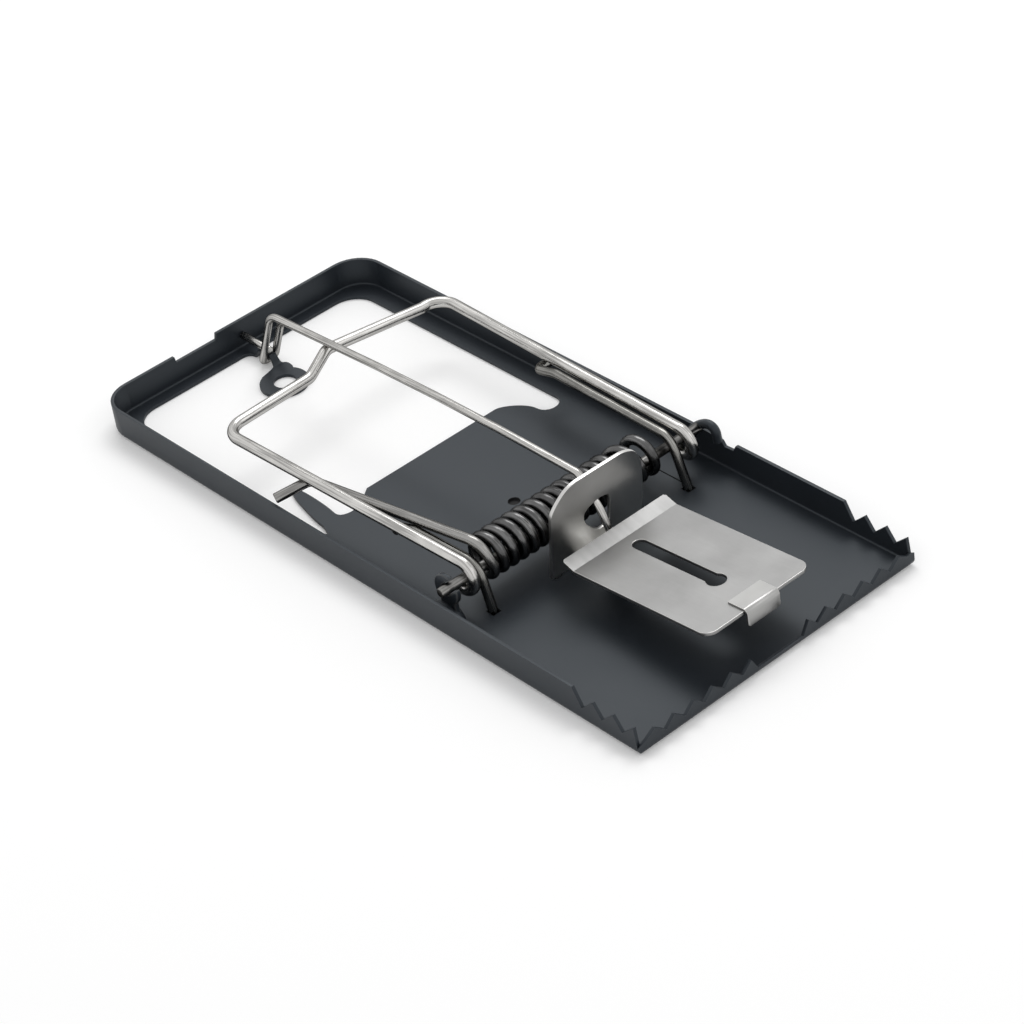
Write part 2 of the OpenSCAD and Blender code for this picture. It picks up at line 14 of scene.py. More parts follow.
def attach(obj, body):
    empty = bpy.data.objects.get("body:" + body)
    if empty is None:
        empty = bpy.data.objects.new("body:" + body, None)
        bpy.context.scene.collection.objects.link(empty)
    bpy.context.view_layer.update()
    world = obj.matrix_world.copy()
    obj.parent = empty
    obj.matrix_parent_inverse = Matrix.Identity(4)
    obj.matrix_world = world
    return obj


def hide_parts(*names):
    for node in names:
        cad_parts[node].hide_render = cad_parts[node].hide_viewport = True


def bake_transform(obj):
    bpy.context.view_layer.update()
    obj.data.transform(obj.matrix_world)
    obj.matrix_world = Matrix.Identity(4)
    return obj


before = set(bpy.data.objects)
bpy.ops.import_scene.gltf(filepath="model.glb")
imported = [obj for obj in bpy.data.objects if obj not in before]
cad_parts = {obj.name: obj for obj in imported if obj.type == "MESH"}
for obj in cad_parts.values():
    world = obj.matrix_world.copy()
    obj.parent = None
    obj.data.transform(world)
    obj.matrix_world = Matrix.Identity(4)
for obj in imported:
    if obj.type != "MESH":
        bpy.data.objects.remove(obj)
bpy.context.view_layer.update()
MM = 0.001
print("CAD nodes:", sorted(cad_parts))

# %% [markdown]
# The camera stands where the photographer stood: in front of the trap, to the
# left and above it, with a long lens. A long lens could be faked with a parallel
# view, but the far end would then look too big, so a true lens is used.

# %% Camera
PHOTO_PX, FOCAL_PX, SENSOR = 1024, 3277.46, 36
camera_place = Vector((297.12, -219.04, 265.27))
camera_right = Vector((0.6641, 0.7377, -0.1217))
camera_up = Vector((-0.3759, 0.4701, 0.7985))
camera_back = Vector((0.6463, -0.4845, 0.5895))
camera_data = bpy.data.cameras.new("camera")
camera_data.sensor_width = SENSOR
camera_data.lens = SENSOR * FOCAL_PX / PHOTO_PX
camera_data.clip_start = 0.01
camera_data.clip_end = 20
camera = bpy.data.objects.new("camera", camera_data)
bpy.context.scene.collection.objects.link(camera)
turn = Matrix((camera_right, camera_up, camera_back)).transposed()
camera.matrix_world = Matrix.Translation(camera_place * MM) @ turn.to_4x4()
bpy.context.scene.camera = camera
print("lens in mm:", round(camera_data.lens, 1))

# %% [markdown]
# A finish is a small net of nodes. It could be wired by hand in the editor, but
# the same few links come back in every finish, so four helpers make them.

# %% Node helpers
def nodes_of(material):
    material.use_nodes = True
    tree = material.node_tree
    tree.nodes.clear()
    return tree


def add(tree, kind, **settings):
    node = tree.nodes.new(kind)
    for key, value in settings.items():
        if key in node.inputs:
            node.inputs[key].default_value = value
        else:
            setattr(node, key, value)
    return node


def join(tree, start, end):
    tree.links.new(start, end)


def where_seen(tree):
    """1 for the rays of the camera, of bright steel and of glass, else 0."""
    path = add(tree, "ShaderNodeLightPath")
    seen = path.outputs["Is Camera Ray"]
    for kind in ("Is Glossy Ray", "Is Transmission Ray"):
        either = add(tree, "ShaderNodeMath", operation="MAXIMUM")
        join(tree, seen, either.inputs[0])
        join(tree, path.outputs[kind], either.inputs[1])
        seen = either.outputs[0]
    return seen


print("node helpers are ready")

# %% [markdown]
# The photograph has a white table and a white surround. The table is one big
# square. It could be lit until it burns out, but then the steel would burn out
# too, so a little white is added only where the camera looks, straight or by
# way of a mirror, and the soft shadow round the tray stays.

# %% Table and light
TABLE_HALF, TABLE_DEPTH, TABLE_GLOW = 1.6, 0.00005, 0.14


def make_table():
    mesh = bpy.data.meshes.new("table")
    corners = [(-1, -1), (1, -1), (1, 1), (-1, 1)]
    mesh.from_pydata([(x * TABLE_HALF, y * TABLE_HALF, -TABLE_DEPTH) for x, y in corners],
                     [], [(0, 1, 2, 3)])
    table = bpy.data.objects.new("table", mesh)
    bpy.context.scene.collection.objects.link(table)
    paper = bpy.data.materials.new("white_table")
    tree = nodes_of(paper)
    cloth = add(tree, "ShaderNodeBsdfDiffuse", Color=(0.88, 0.88, 0.88, 1))
    glow = add(tree, "ShaderNodeEmission", Color=(1, 1, 1, 1))
    level = add(tree, "ShaderNodeMath", operation="MULTIPLY")
    level.inputs[1].default_value = TABLE_GLOW
    both = add(tree, "ShaderNodeAddShader")
    end = add(tree, "ShaderNodeOutputMaterial")
    join(tree, where_seen(tree), level.inputs[0])
    join(tree, level.outputs[0], glow.inputs["Strength"])
    join(tree, cloth.outputs[0], both.inputs[0])
    join(tree, glow.outputs[0], both.inputs[1])
    join(tree, both.outputs[0], end.inputs["Surface"])
    mesh.materials.append(paper)


def make_world():
    world = bpy.data.worlds.new("studio")
    bpy.context.scene.world = world
    tree = nodes_of(world)
    soft = add(tree, "ShaderNodeBackground", Color=(1, 1, 1, 1), Strength=0.72)
    seen = add(tree, "ShaderNodeBackground", Color=(1, 1, 1, 1), Strength=1.0)
    pick = add(tree, "ShaderNodeMixShader")
    end = add(tree, "ShaderNodeOutputWorld")
    join(tree, where_seen(tree), pick.inputs[0])
    join(tree, soft.outputs[0], pick.inputs[1])
    join(tree, seen.outputs[0], pick.inputs[2])
    join(tree, pick.outputs[0], end.inputs["Surface"])


def make_lamp(name, place, size, watts):
    """A soft rectangular lamp that looks at the trap; place and size in metres."""
    data = bpy.data.lights.new(name, "AREA")
    data.shape = "RECTANGLE"
    data.size, data.size_y = size
    data.energy = watts
    lamp = bpy.data.objects.new(name, data)
    lamp.location = place
    lamp.rotation_euler = (-Vector(place)).to_track_quat("-Z", "Y").to_euler()
    bpy.context.scene.collection.objects.link(lamp)


make_table()
make_world()
make_lamp("window_light", place=(-0.24, 0.3, 0.6), size=(0.5, 0.3), watts=1.9)
make_lamp("fill_light", place=(0.5, 0.35, 0.4), size=(0.3, 0.3), watts=0.2)
bpy.context.scene.view_settings.view_transform = "Standard"
print("table, world and two lamps are in place")

# %% [markdown]
# No metal here is one even colour. Each finish lets its colour and its gloss
# wander, and has fine marks. Image textures could carry that, but noise gives
# the same at any distance, with nothing to load. These helpers are shared.

# %% Finish helpers
def noise_on(tree, coordinates, **settings):
    noise = add(tree, "ShaderNodeTexNoise", **settings)
    join(tree, coordinates, noise.inputs["Vector"])
    return noise.outputs["Fac"]


def stretched(tree, coordinates, scale):
    stretch = add(tree, "ShaderNodeMapping")
    stretch.inputs["Scale"].default_value = scale
    join(tree, coordinates, stretch.inputs["Vector"])
    return stretch.outputs["Vector"]


def ramp(tree, value, start, end, low=0, high=1):
    """Spread the values from start to end out over low to high."""
    spread = add(tree, "ShaderNodeMapRange")
    spread.inputs["From Min"].default_value = start
    spread.inputs["From Max"].default_value = end
    spread.inputs["To Min"].default_value = low
    spread.inputs["To Max"].default_value = high
    join(tree, value, spread.inputs["Value"])
    return spread.outputs["Result"]


def mix_colours(tree, factor, first, second, blend="MIX"):
    """Each of first and second is a colour or the output of a node."""
    mix = add(tree, "ShaderNodeMix", data_type="RGBA", blend_type=blend)
    join(tree, factor, mix.inputs["Factor"])
    for socket, colour in (("A", first), ("B", second)):
        if isinstance(colour, tuple):
            mix.inputs[socket].default_value = (*colour, 1)
        else:
            join(tree, colour, mix.inputs[socket])
    return mix.outputs["Result"]


def finish_surface(tree, shader, colour, rough, marks, strength, depth):
    """Join colour and roughness, and press the marks in this deep, in metres."""
    join(tree, colour, shader.inputs["Base Color"])
    join(tree, rough, shader.inputs["Roughness"])
    bump = add(tree, "ShaderNodeBump", Strength=strength, Distance=depth)
    join(tree, marks, bump.inputs["Height"])
    join(tree, bump.outputs["Normal"], shader.inputs["Normal"])
    end = add(tree, "ShaderNodeOutputMaterial")
    join(tree, shader.outputs[0], end.inputs["Surface"])


print("finish helpers are ready")

# %% [markdown]
# The wires are drawn steel. The die leaves fine lines along a wire, some of them dark. Noise on the
# object would run across the bends, so the noise lies on a map that is wound round each wire and
# follows it. The spring is dark, but its arm and its first turns are painted lighter: painted light,
# with a painted highlight on the first turns.

# %% Wire finish
MAP_PER_MM = 0.01


def wire_steel(name, colour, roughness, marks, stain, painted_light_start=None):
    """Drawn wire; stain is the share of the colour that the dull places lose.

    The last argument is (colour, from, to): painted light; the start of the wire
    has that lighter colour, which fades out between the two lengths in mm.
    """
    steel = bpy.data.materials.new(name)
    tree = nodes_of(steel)
    shader = add(tree, "ShaderNodeBsdfPrincipled", Metallic=1.0)
    shader.inputs["Specular Tint"].default_value = (0.3, 0.3, 0.3, 1)
    place = add(tree, "ShaderNodeTexCoord")
    along = stretched(tree, place.outputs["UV"], (7, 4, 1))
    lines = noise_on(tree, along, Scale=3.0, Detail=4.0)
    cloud = noise_on(tree, place.outputs["Object"], Scale=420.0, Detail=3.0)
    dark = tuple(c * (1 - stain) for c in colour)
    tone = mix_colours(tree, ramp(tree, cloud, 0.3, 0.62), dark, colour)
    # painted light: the start of the wire (on the spring, its arm and first turns) is painted lighter
    if painted_light_start:
        parts = add(tree, "ShaderNodeSeparateXYZ")
        join(tree, place.outputs["UV"], parts.inputs[0])
        fade = ramp(tree, parts.outputs["Y"], painted_light_start[1] * MAP_PER_MM, painted_light_start[2] * MAP_PER_MM)
        tone = mix_colours(tree, fade, painted_light_start[0], tone)
    tone = mix_colours(tree, ramp(tree, lines, 0.56, 0.4), tone, (0.6, 0.6, 0.6), "MULTIPLY")
    rough = ramp(tree, lines, 0, 1, roughness * 0.75, roughness * 1.35)
    finish_surface(tree, shader, tone, rough, lines, marks, 0.00002)
    return steel


bright_wire = wire_steel("bright_wire", (0.62, 0.61, 0.59), roughness=0.2, marks=0.2, stain=0.132)
satin_wire = wire_steel("satin_wire", (0.58, 0.57, 0.55), roughness=0.25, marks=0.2, stain=0.176)
lift_steel = wire_steel("lift_wire_steel", (0.3, 0.295, 0.28), roughness=0.25, marks=0.25,
                        stain=0.264)
# painted light: the arm and the first turns of the spring are painted lighter than its coils
spring_steel = wire_steel("spring_steel", (0.17, 0.17, 0.17), roughness=0.24, marks=0.3,
                          stain=0.44, painted_light_start=((0.32, 0.315, 0.305), 39, 45))
axle_steel = wire_steel("axle_steel", (0.3, 0.295, 0.285), roughness=0.3, marks=0.2, stain=0.44)
print("finishes so far:", [finish.name for finish in bpy.data.materials])

# %% [markdown]
# The catch plate and the pedal are bare sheet with the grain of the rolling mill across them: the
# plate is polished, the pedal dull. A picture of brushed steel could be laid on, but noise that is
# stretched one way gives the grain at any distance. A cut edge has its own finish, lighter than the
# sheet: bare steel and a painted highlight. The fold over the pedal is the plate's steel painted
# darker, as painted shade.

# %% Sheet finish
def sheet_steel(name, colour, roughness, grain):
    """Sheet steel with mill grain across the piece."""
    steel = bpy.data.materials.new(name)
    tree = nodes_of(steel)
    shader = add(tree, "ShaderNodeBsdfPrincipled", Metallic=1.0)
    place = add(tree, "ShaderNodeTexCoord").outputs["Object"]
    lines = noise_on(tree, stretched(tree, place, grain), Scale=1.0, Detail=5.0, Roughness=0.6)
    cloud = noise_on(tree, place, Scale=130.0, Detail=4.0)
    dark = tuple(c * 0.8 for c in colour)
    tone = mix_colours(tree, ramp(tree, cloud, 0.25, 0.65), dark, colour)
    rough = ramp(tree, lines, 0, 1, roughness * 0.8, roughness * 1.25)
    finish_surface(tree, shader, tone, rough, lines, 0.25, 0.00003)
    return steel


plate_steel = sheet_steel("plate_steel", (0.62, 0.615, 0.6), 0.3, (300, 2600, 300))
pedal_steel = sheet_steel("pedal_steel", (0.3, 0.299, 0.296), 0.4, (260, 2600, 260))
# painted shade: the fold is the catch plate's steel, painted darker than the plate
shaded_fold_steel = sheet_steel("shaded_fold_steel", (0.4, 0.398, 0.39), 0.32, (300, 2600, 300))
# bare steel of a cut edge, painted lighter than the sheet as a painted highlight
cut_edge_and_highlight = sheet_steel("cut_edge_and_highlight", (0.8, 0.79, 0.77), 0.3, (900, 900, 900))
print("finishes so far:", [finish.name for finish in bpy.data.materials])

# %% [markdown]
# The tray is pressed from sheet steel and dipped in black lacquer. Plain black could do, but the real
# coat is thin: it is a little uneven, it has dust in it, and it is worn to grey on the cut edges. So
# its colour wanders, the cut edges have a worn lacquer of their own, and the slots are painted black,
# as painted shade.

# %% Black lacquer
def black_lacquer(name, dark, light):
    """Dull lacquer whose colour wanders between dark and light."""
    paint = bpy.data.materials.new(name)
    tree = nodes_of(paint)
    shader = add(tree, "ShaderNodeBsdfPrincipled")
    shader.inputs["Specular IOR Level"].default_value = 0.36
    shader.inputs["Specular Tint"].default_value = (0.86, 0.94, 1, 1)
    place = add(tree, "ShaderNodeTexCoord").outputs["Object"]
    cloud = noise_on(tree, place, Scale=70.0, Detail=5.0, Roughness=0.6)
    dust = noise_on(tree, place, Scale=1900.0, Detail=2.0)
    tone = mix_colours(tree, cloud, dark, light)
    finish_surface(tree, shader, tone, ramp(tree, cloud, 0, 1, 0.34, 0.5), dust, 0.12, 0.00003)
    return paint


def dead_black(name):
    dark = bpy.data.materials.new(name)
    tree = nodes_of(dark)
    shader = add(tree, "ShaderNodeBsdfPrincipled", Roughness=0.8)
    shader.inputs["Base Color"].default_value = (0.003, 0.003, 0.0035, 1)
    end = add(tree, "ShaderNodeOutputMaterial")
    join(tree, shader.outputs[0], end.inputs["Surface"])
    return dark


lacquer = black_lacquer("black_lacquer", (0.0125, 0.0155, 0.02), (0.0195, 0.0235, 0.029))
worn_lacquer = black_lacquer("worn_lacquer", (0.01, 0.012, 0.015), (0.09, 0.093, 0.096))
# painted shade: near black for the slots, in place of the shade under the deck
slot_painted_shade = dead_black("slot_painted_shade")
print("finishes so far:", [finish.name for finish in bpy.data.materials])

# %% [markdown]
# Every wire on the trap is bent on a jig: run straight, bend, turn the wire in
# the jaws, run straight again. The helper below does the same. A Bezier curve
# could follow the wire too, but its bends would never be true arcs.

# %% Bend a wire
def sin(degrees):
    return math.sin(math.radians(degrees))


def cos(degrees):
    return math.cos(math.radians(degrees))


def tan(degrees):
    return math.tan(math.radians(degrees))


def turned(*steps):
    """One turning matrix from steps such as ("Z", 90), first step outermost."""
    matrix = Matrix.Identity(3)
    for axis, degrees in steps:
        matrix = matrix @ Matrix.Rotation(math.radians(degrees), 3, axis)
    return matrix


def arc(point, matrix, radius, degrees, step=6):
    """Points on a bend that leaves along the frame's Z towards its X."""
    count = max(2, round(degrees / step))
    points = []
    for i in range(1, count + 1):
        a = degrees * i / count
        points.append(point + matrix @ Vector((radius - radius * cos(a), 0, radius * sin(a))))
    return points


def bend_wire(point, matrix, steps):
    """Follow (length, radius, angle, roll) steps; returns points, end frame."""
    points = [Vector(point)]
    trim_before = 0
    for step in steps:
        trim = step[1] * tan(step[2] / 2) if len(step) > 1 else 0
        point = points[-1] + matrix @ Vector((0, 0, step[0] - trim_before - trim))
        points.append(point)
        if len(step) > 1:
            matrix = matrix @ turned(("Z", step[3]))
            points += arc(point, matrix, step[1], step[2])
            matrix = matrix @ turned(("Y", step[2]))
        trim_before = trim
    return points, matrix


print("wire bender is ready")

# %% [markdown]
# Every mesh ends the same way: it gets its name, its finish and the body that it
# moves with. Smooth shading suits wire and bends, but it would draw pale fans on
# a flat sheet, so the flat parts of a sheet and the cut ends of a wire stay flat.

# %% Finish a mesh
def flat_parts(bm, broad=2.4, level=0.02):
    """The broad faces of a sheet, and every face that lies level with one."""
    found = []
    for face in bm.faces:
        longest = max(edge.calc_length() for edge in face.edges)
        if 2 * face.calc_area() > broad * longest:
            found.append(face)
    flat = set(found)
    while found:
        face = found.pop()
        for edge in face.edges:
            for other in edge.link_faces:
                if other not in flat and face.normal.dot(other.normal) > math.cos(level):
                    flat.add(other)
                    found.append(other)
    return flat


def finish_mesh(name, bm, material, body, *stands_for, sheet=False):
    """Scale to metres, name the piece, give it its finish and its body."""
    bm.verts.ensure_lookup_table()
    bmesh.ops.recalc_face_normals(bm, faces=bm.faces)
    bm.normal_update()
    flat = flat_parts(bm) if sheet else [face for face in bm.faces if len(face.verts) > 4]
    for face in bm.faces:
        face.smooth = True
    for face in flat:
        face.smooth = False
    bmesh.ops.scale(bm, vec=(MM, MM, MM), verts=bm.verts)
    mesh = bpy.data.meshes.new(name)
    bm.to_mesh(mesh)
    bm.free()
    piece = bpy.data.objects.new(name, mesh)
    bpy.context.scene.collection.objects.link(piece)
    mesh.materials.append(material)
    if body:
        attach(piece, body)
    if stands_for:
        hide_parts(*stands_for)
    print(name, "faces:", len(mesh.polygons))
    return piece


print("mesh finisher is ready")

# %% [markdown]
# A wire is a round tube along its line of points. A curve with a bevel could
# give the tube, but not the map that the drawn lines lie on, so the rings of
# the tube are set one by one, each turned as little as the bend allows.

# %% Wire mesh
def spaced(points, least=1e-4):
    """The points as vectors, without any that lies on the one before it."""
    kept = [Vector(points[0])]
    for p in points[1:]:
        if (Vector(p) - kept[-1]).length > least:
            kept.append(Vector(p))
    return kept


def wire_rows(points, radius, ease):
    """(place, heading, radius, length so far) of each ring, cut ends eased."""
    last = len(points) - 1
    headings = [(points[min(last, i + 1)] - points[max(0, i - 1)]).normalized()
                for i in range(last + 1)]
    start, end = headings[0] * radius * ease, headings[-1] * radius * ease
    rows = [(points[0], headings[0], radius * (1 - ease), 0.0),
            (points[0] + start, headings[0], radius, 0.0)]
    along = 0
    for i in range(1, last):
        along += (points[i] - points[i - 1]).length
        rows.append((points[i], headings[i], radius, along))
    rows.append((points[-1] - end, headings[-1], radius, along))
    rows.append((points[-1], headings[-1], radius * (1 - ease), along))
    return rows


def wire_mesh(points, radius, sides=20, ease=0.18):
    """A round tube along the points, with a map that is wound along it."""
    rows = wire_rows(spaced(points), radius, ease)
    side = rows[0][1].orthogonal().normalized()
    bm = bmesh.new()
    uv = bm.loops.layers.uv.new("along_wire")
    rings = []
    for place, heading, r, _ in rows:
        side = (side - heading * side.dot(heading)).normalized()
        other = heading.cross(side)
        ring = []
        for k in range(sides):
            a = 2 * math.pi * k / sides
            ring.append(bm.verts.new(place + r * (math.cos(a) * side + math.sin(a) * other)))
        rings.append(ring)
    for i in range(len(rings) - 1):
        for k in range(sides):
            n = (k + 1) % sides
            face = bm.faces.new((rings[i][k], rings[i][n], rings[i + 1][n], rings[i + 1][k]))
            around = (k / sides, (k + 1) / sides, (k + 1) / sides, k / sides)
            length = (rows[i][3], rows[i][3], rows[i + 1][3], rows[i + 1][3])
            for loop, u, v in zip(face.loops, around, length):
                loop[uv].uv = (u, v * MAP_PER_MM)
    bm.faces.new(rings[0][::-1])
    bm.faces.new(rings[-1])
    return bm


print("wire mesh helper is ready")

# %% [markdown]
# The pieces meet at the axle and in the tray, so these few sizes are written
# first. They could be measured on the CAD nodes, but a name reads better.

# %% Shared sizes
TRAY_X, TRAY_Y, SHEET = 57.0, 25.0, 0.5
AXLE_X, AXLE_Z, AXLE_R = 18.2, 5.55, 0.8
HAIR = 0.1  # the gap that keeps a wire just off the table
print("tray:", 2 * TRAY_X, "x", 2 * TRAY_Y, "mm, sheet", SHEET, "mm")

# %% [markdown]
# The bail is the jaw of the trap: one wire that starts in a ring on the axle,
# runs back, crosses with a raised crest for the trip rod and comes forward to
# the other ring. Boxes and cylinders could be joined, but the bends catch the
# light, so it is bent in one run with the helper. The rings are centred on the
# hinge, a little above the axle, so that they stay clear of it in the swing.

# %% Bail
BAIL_R, RING_R, RING_TURN = 0.84, 2.25, 215
RING_Z = 6.15
LEG_Y, LEG_Z = 19.5, RING_Z + RING_R
CORNER_NEAR, CORNER_FAR = 89.45, 94.0
SPLAY = (CORNER_NEAR + CORNER_FAR - 180) / 2
SKEW = CORNER_FAR - 90 - SPLAY
REACH = 49.0
CORNER_R, CREST_R = 3.2, 2.5
CREST_RISE, CREST_TILT, CREST_IN, CREST_OUT = 2.2, 52.2, 24.82, 7.25
CREST_TO_CORNER, FAR_LEG_MORE = 0.55, 0.8
FAR_RING_MORE, FAR_RING_DRIFT = 0.1, 0.9

crossbar = (2 * LEG_Y + 2 * REACH * sin(SPLAY)) / (cos(SKEW) - sin(SKEW) * tan(SPLAY))
far_leg = REACH + crossbar * sin(SKEW) / cos(SPLAY)
far_run = CORNER_R + CREST_TO_CORNER
near_run = crossbar - far_run - CREST_RISE / tan(CREST_OUT) - CREST_RISE / tan(CREST_IN)
start = Vector((AXLE_X, -LEG_Y, LEG_Z))
leg_frame = turned(("Z", SPLAY), ("Y", -90), ("Z", 90))
near_ring = arc(start, leg_frame @ turned(("Z", 90), ("X", 180)), RING_R, RING_TURN)
run, end_frame = bend_wire(start, leg_frame, [
    (REACH, CORNER_R, CORNER_NEAR, 0),
    (near_run, CREST_R, CREST_IN, CREST_TILT - 180),
    (CREST_RISE / sin(CREST_IN), CREST_R, CREST_IN + CREST_OUT, 180),
    (CREST_RISE / sin(CREST_OUT), CREST_R, CREST_OUT, 180),
    (far_run, CORNER_R, CORNER_FAR, 180 - CREST_TILT),
    (far_leg + FAR_LEG_MORE,)])
far_ring = arc(run[-1], end_frame @ turned(("Z", 90)), RING_R + FAR_RING_MORE, RING_TURN)
far_ring = [p + Vector((0, FAR_RING_DRIFT * i / len(far_ring), 0))
            for i, p in enumerate(far_ring)]
bail_points = near_ring[::-1] + run + far_ring
finish_mesh("bail_wire", wire_mesh(bail_points, BAIL_R), bright_wire, "bail", "bail")

# %% [markdown]
# The spring is what drives the jaw: a hook under the near leg, an arm, fourteen turns, a gap, two more
# turns, and a foot in the tray. A screw modifier could wind the turns, but the arm and foot have to
# grow out of the same wire, so all of it is one run of points.

# %% Spring coil
SPRING_R, COIL_R, PITCH = 0.75, 2.6, 1.8
LONG_TURNS, SHORT_TURNS, GROUP_GAP = 14, 2, 2.4
COIL_INSET, COIL_BACK, COIL_UP = 3.5, 0.7, 0.75
COIL_X, COIL_Y, COIL_Z = AXLE_X - COIL_BACK, COIL_INSET - LEG_Y, AXLE_Z + COIL_UP
STEPS_A_TURN, ARM_LEAVES, FOOT_LEAVES = 28, 0.25, 15.5


def coil_y(t):
    return COIL_Y + PITCH * t + GROUP_GAP * min(1, max(0, t - LONG_TURNS + 0.5))


def coil_point(t):
    a = 2 * math.pi * t
    return Vector((COIL_X + COIL_R * math.sin(a), coil_y(t), COIL_Z + COIL_R * math.cos(a)))


coil = [coil_point(i / STEPS_A_TURN)
        for i in range(math.ceil(STEPS_A_TURN * ARM_LEAVES), int(STEPS_A_TURN * FOOT_LEAVES) + 1)]
print("points on the coil:", len(coil))

# %% [markdown]
# The arm, the hook and the foot are straight runs between points chosen on the
# real spring. They could meet in sharp corners, but bent wire has none, so each
# corner is an arc that touches both runs.

# %% Spring
HOOK_UNDER, HOOK_REACH, HOOK_STUB, HOOK_DROP, HOOK_OUT, HOOK_IN = 0.775, 32, 2, 1.2, 0.7, 0.2
HOOK_Z = LEG_Z - BAIL_R - HOOK_UNDER
ARM_FORWARD, ARM_ASIDE, ARM_ABOVE = 0.9, 0.3, 0.75
HOOK_BEND_R, ARM_BEND_R, FOOT_BEND_R = 1.5, 2.6, 1.2
FOOT_BACK = 2.55


def round_corner(p, q, s, radius, count=8):
    """Points of an arc of that radius at corner q, on the way from p to s."""
    d1, d2 = (q - p).normalized(), (s - q).normalized()
    angle = d1.angle(d2)
    out = (d2 - d1 * d2.dot(d1)).normalized()
    centre = q - d1 * radius * math.tan(angle / 2) + out * radius
    points = []
    for i in range(count + 1):
        a = angle * i / count
        points.append(centre + radius * (math.sin(a) * d1 - math.cos(a) * out))
    return points


hook_tip = Vector((AXLE_X - HOOK_REACH - HOOK_STUB, HOOK_OUT - TRAY_Y, HOOK_Z - HOOK_DROP))
hook_bend = Vector((AXLE_X - HOOK_REACH, HOOK_IN - LEG_Y, HOOK_Z))
arm_turn = Vector((COIL_X + ARM_FORWARD, COIL_Y - ARM_ASIDE, COIL_Z + COIL_R + ARM_ABOVE))
arm_end, coil_foot = coil_point(ARM_LEAVES), coil_point(FOOT_LEAVES)
foot_bend = Vector((AXLE_X - COIL_R - FOOT_BACK, coil_y(LONG_TURNS + SHORT_TURNS), coil_foot.z))
foot_tip = Vector((foot_bend.x, foot_bend.y, HAIR))
spring_points = [hook_tip] + round_corner(hook_tip, hook_bend, arm_turn, HOOK_BEND_R)
spring_points += round_corner(hook_bend, arm_turn, arm_end, ARM_BEND_R) + coil
spring_points += round_corner(coil_foot, foot_bend, foot_tip, FOOT_BEND_R) + [foot_tip]
spring = finish_mesh("spring_wire", wire_mesh(spring_points, SPRING_R, 16), spring_steel, None)
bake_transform(spring)
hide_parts("torsion_spring")

# %% [markdown]
# A wire stands in a slot of the tray beside each ring, leans over the axle and
# runs back along the leg. Each could be traced point by point, but the two
# differ only in length, height, lean and the place of the foot, so one function
# bends both and they stay alike.

# %% Lift wires
# The wire is placed by LIFT_STEM_R and drawn a little thicker, with LIFT_R.
LIFT_R, LIFT_STEM_R, LIFT_BEND_R, LIFT_HOOK_R = 0.685, 0.625, 3, 1.1
LIFT_ASIDE, LIFT_ABOVE, LIFT_DIP, LIFT_DROP = 0.27, 0.3, 14.79, 0.6
LIFT_Y = LEG_Y - BAIL_R - LIFT_ASIDE - LIFT_STEM_R
LIFT_Z = AXLE_Z + AXLE_R + LIFT_STEM_R + LIFT_ABOVE


def lift_wire(name, side, reach, stub, height, foot_x, rise, node):
    """side is -1 near, 1 far; rise is the lean of the foot in degrees."""
    base = turned(("Z", -side * SPLAY))
    drop = LIFT_DROP + height - LIFT_Z
    matrix = base @ turned(("Y", rise - 90), ("Z", 180))
    foot_z = HAIR + LIFT_STEM_R * cos(rise)
    origin = Vector((AXLE_X, side * LIFT_Y, 0)) + base @ Vector((foot_x, 0, foot_z))
    back = reach + foot_x - (height - foot_z) / tan(rise) - drop / tan(LIFT_DIP)
    points, _ = bend_wire(origin, matrix, [
        ((height - foot_z) / sin(rise), LIFT_BEND_R, rise, 0),
        (back, LIFT_BEND_R, LIFT_DIP, 0),
        (drop / sin(LIFT_DIP), LIFT_HOOK_R, 90, -90 * side),
        (stub,)])
    return finish_mesh(name, wire_mesh(points, LIFT_R), lift_steel, "base", node)


lift_wire("near_lift_wire", side=-1, reach=14, stub=1.25, height=LIFT_Z + 0.2, foot_x=3.1,
          rise=75.5, node="lift_wire_near")
lift_wire("far_lift_wire", side=1, reach=27.2, stub=4, height=LIFT_Z + 0.55, foot_x=3.9,
          rise=69.6, node="lift_wire_far")

# %% [markdown]
# The trip rod holds the jaw down. Its loop goes round the neck of the tongue at
# the back, it bows over the crest of the bail, and its bent tip sits in the
# window of the catch plate. A smooth curve through those places could do, but
# it would swing out at the bends, so the rod is bent like the bail. A short pin
# lies on the neck inside the loop.

# %% Trip rod and pin
ROD_R, ROD_X = 0.57, 6.6 - TRAY_X
NECK_Y, NECK_W, NECK_GAP = 1.15, 1.1, 0.2
LOOP_W = NECK_W + NECK_GAP + 2 * ROD_R
ROD_LEAN, TAIL_L, TAIL_H = 62.47, 3.0, 7.3
ROD_SLOPE, ROD_BOW, BOW_STEP, BOW_X = 3.25, 1.25, 13.0, -21.0
TIP_BEND, ROD_DROP, TIP_BACK = 49.5, 6.2, 1.6
TIP_CURL, TIP_CURL_R, TIP_L, TIP_CUT = 12, 4, 3.4, 2.4
TAIL_BEND_R, LOOP_BEND_R, REAR_BEND_R, BOW_R, TIP_BEND_R = 2.2, 0.7, 2.8, 3, 1.5
PIN_AHEAD, PIN_BEHIND, WALL_GAP = 0.8, 2, 0.2
PLATE_X = 22.35

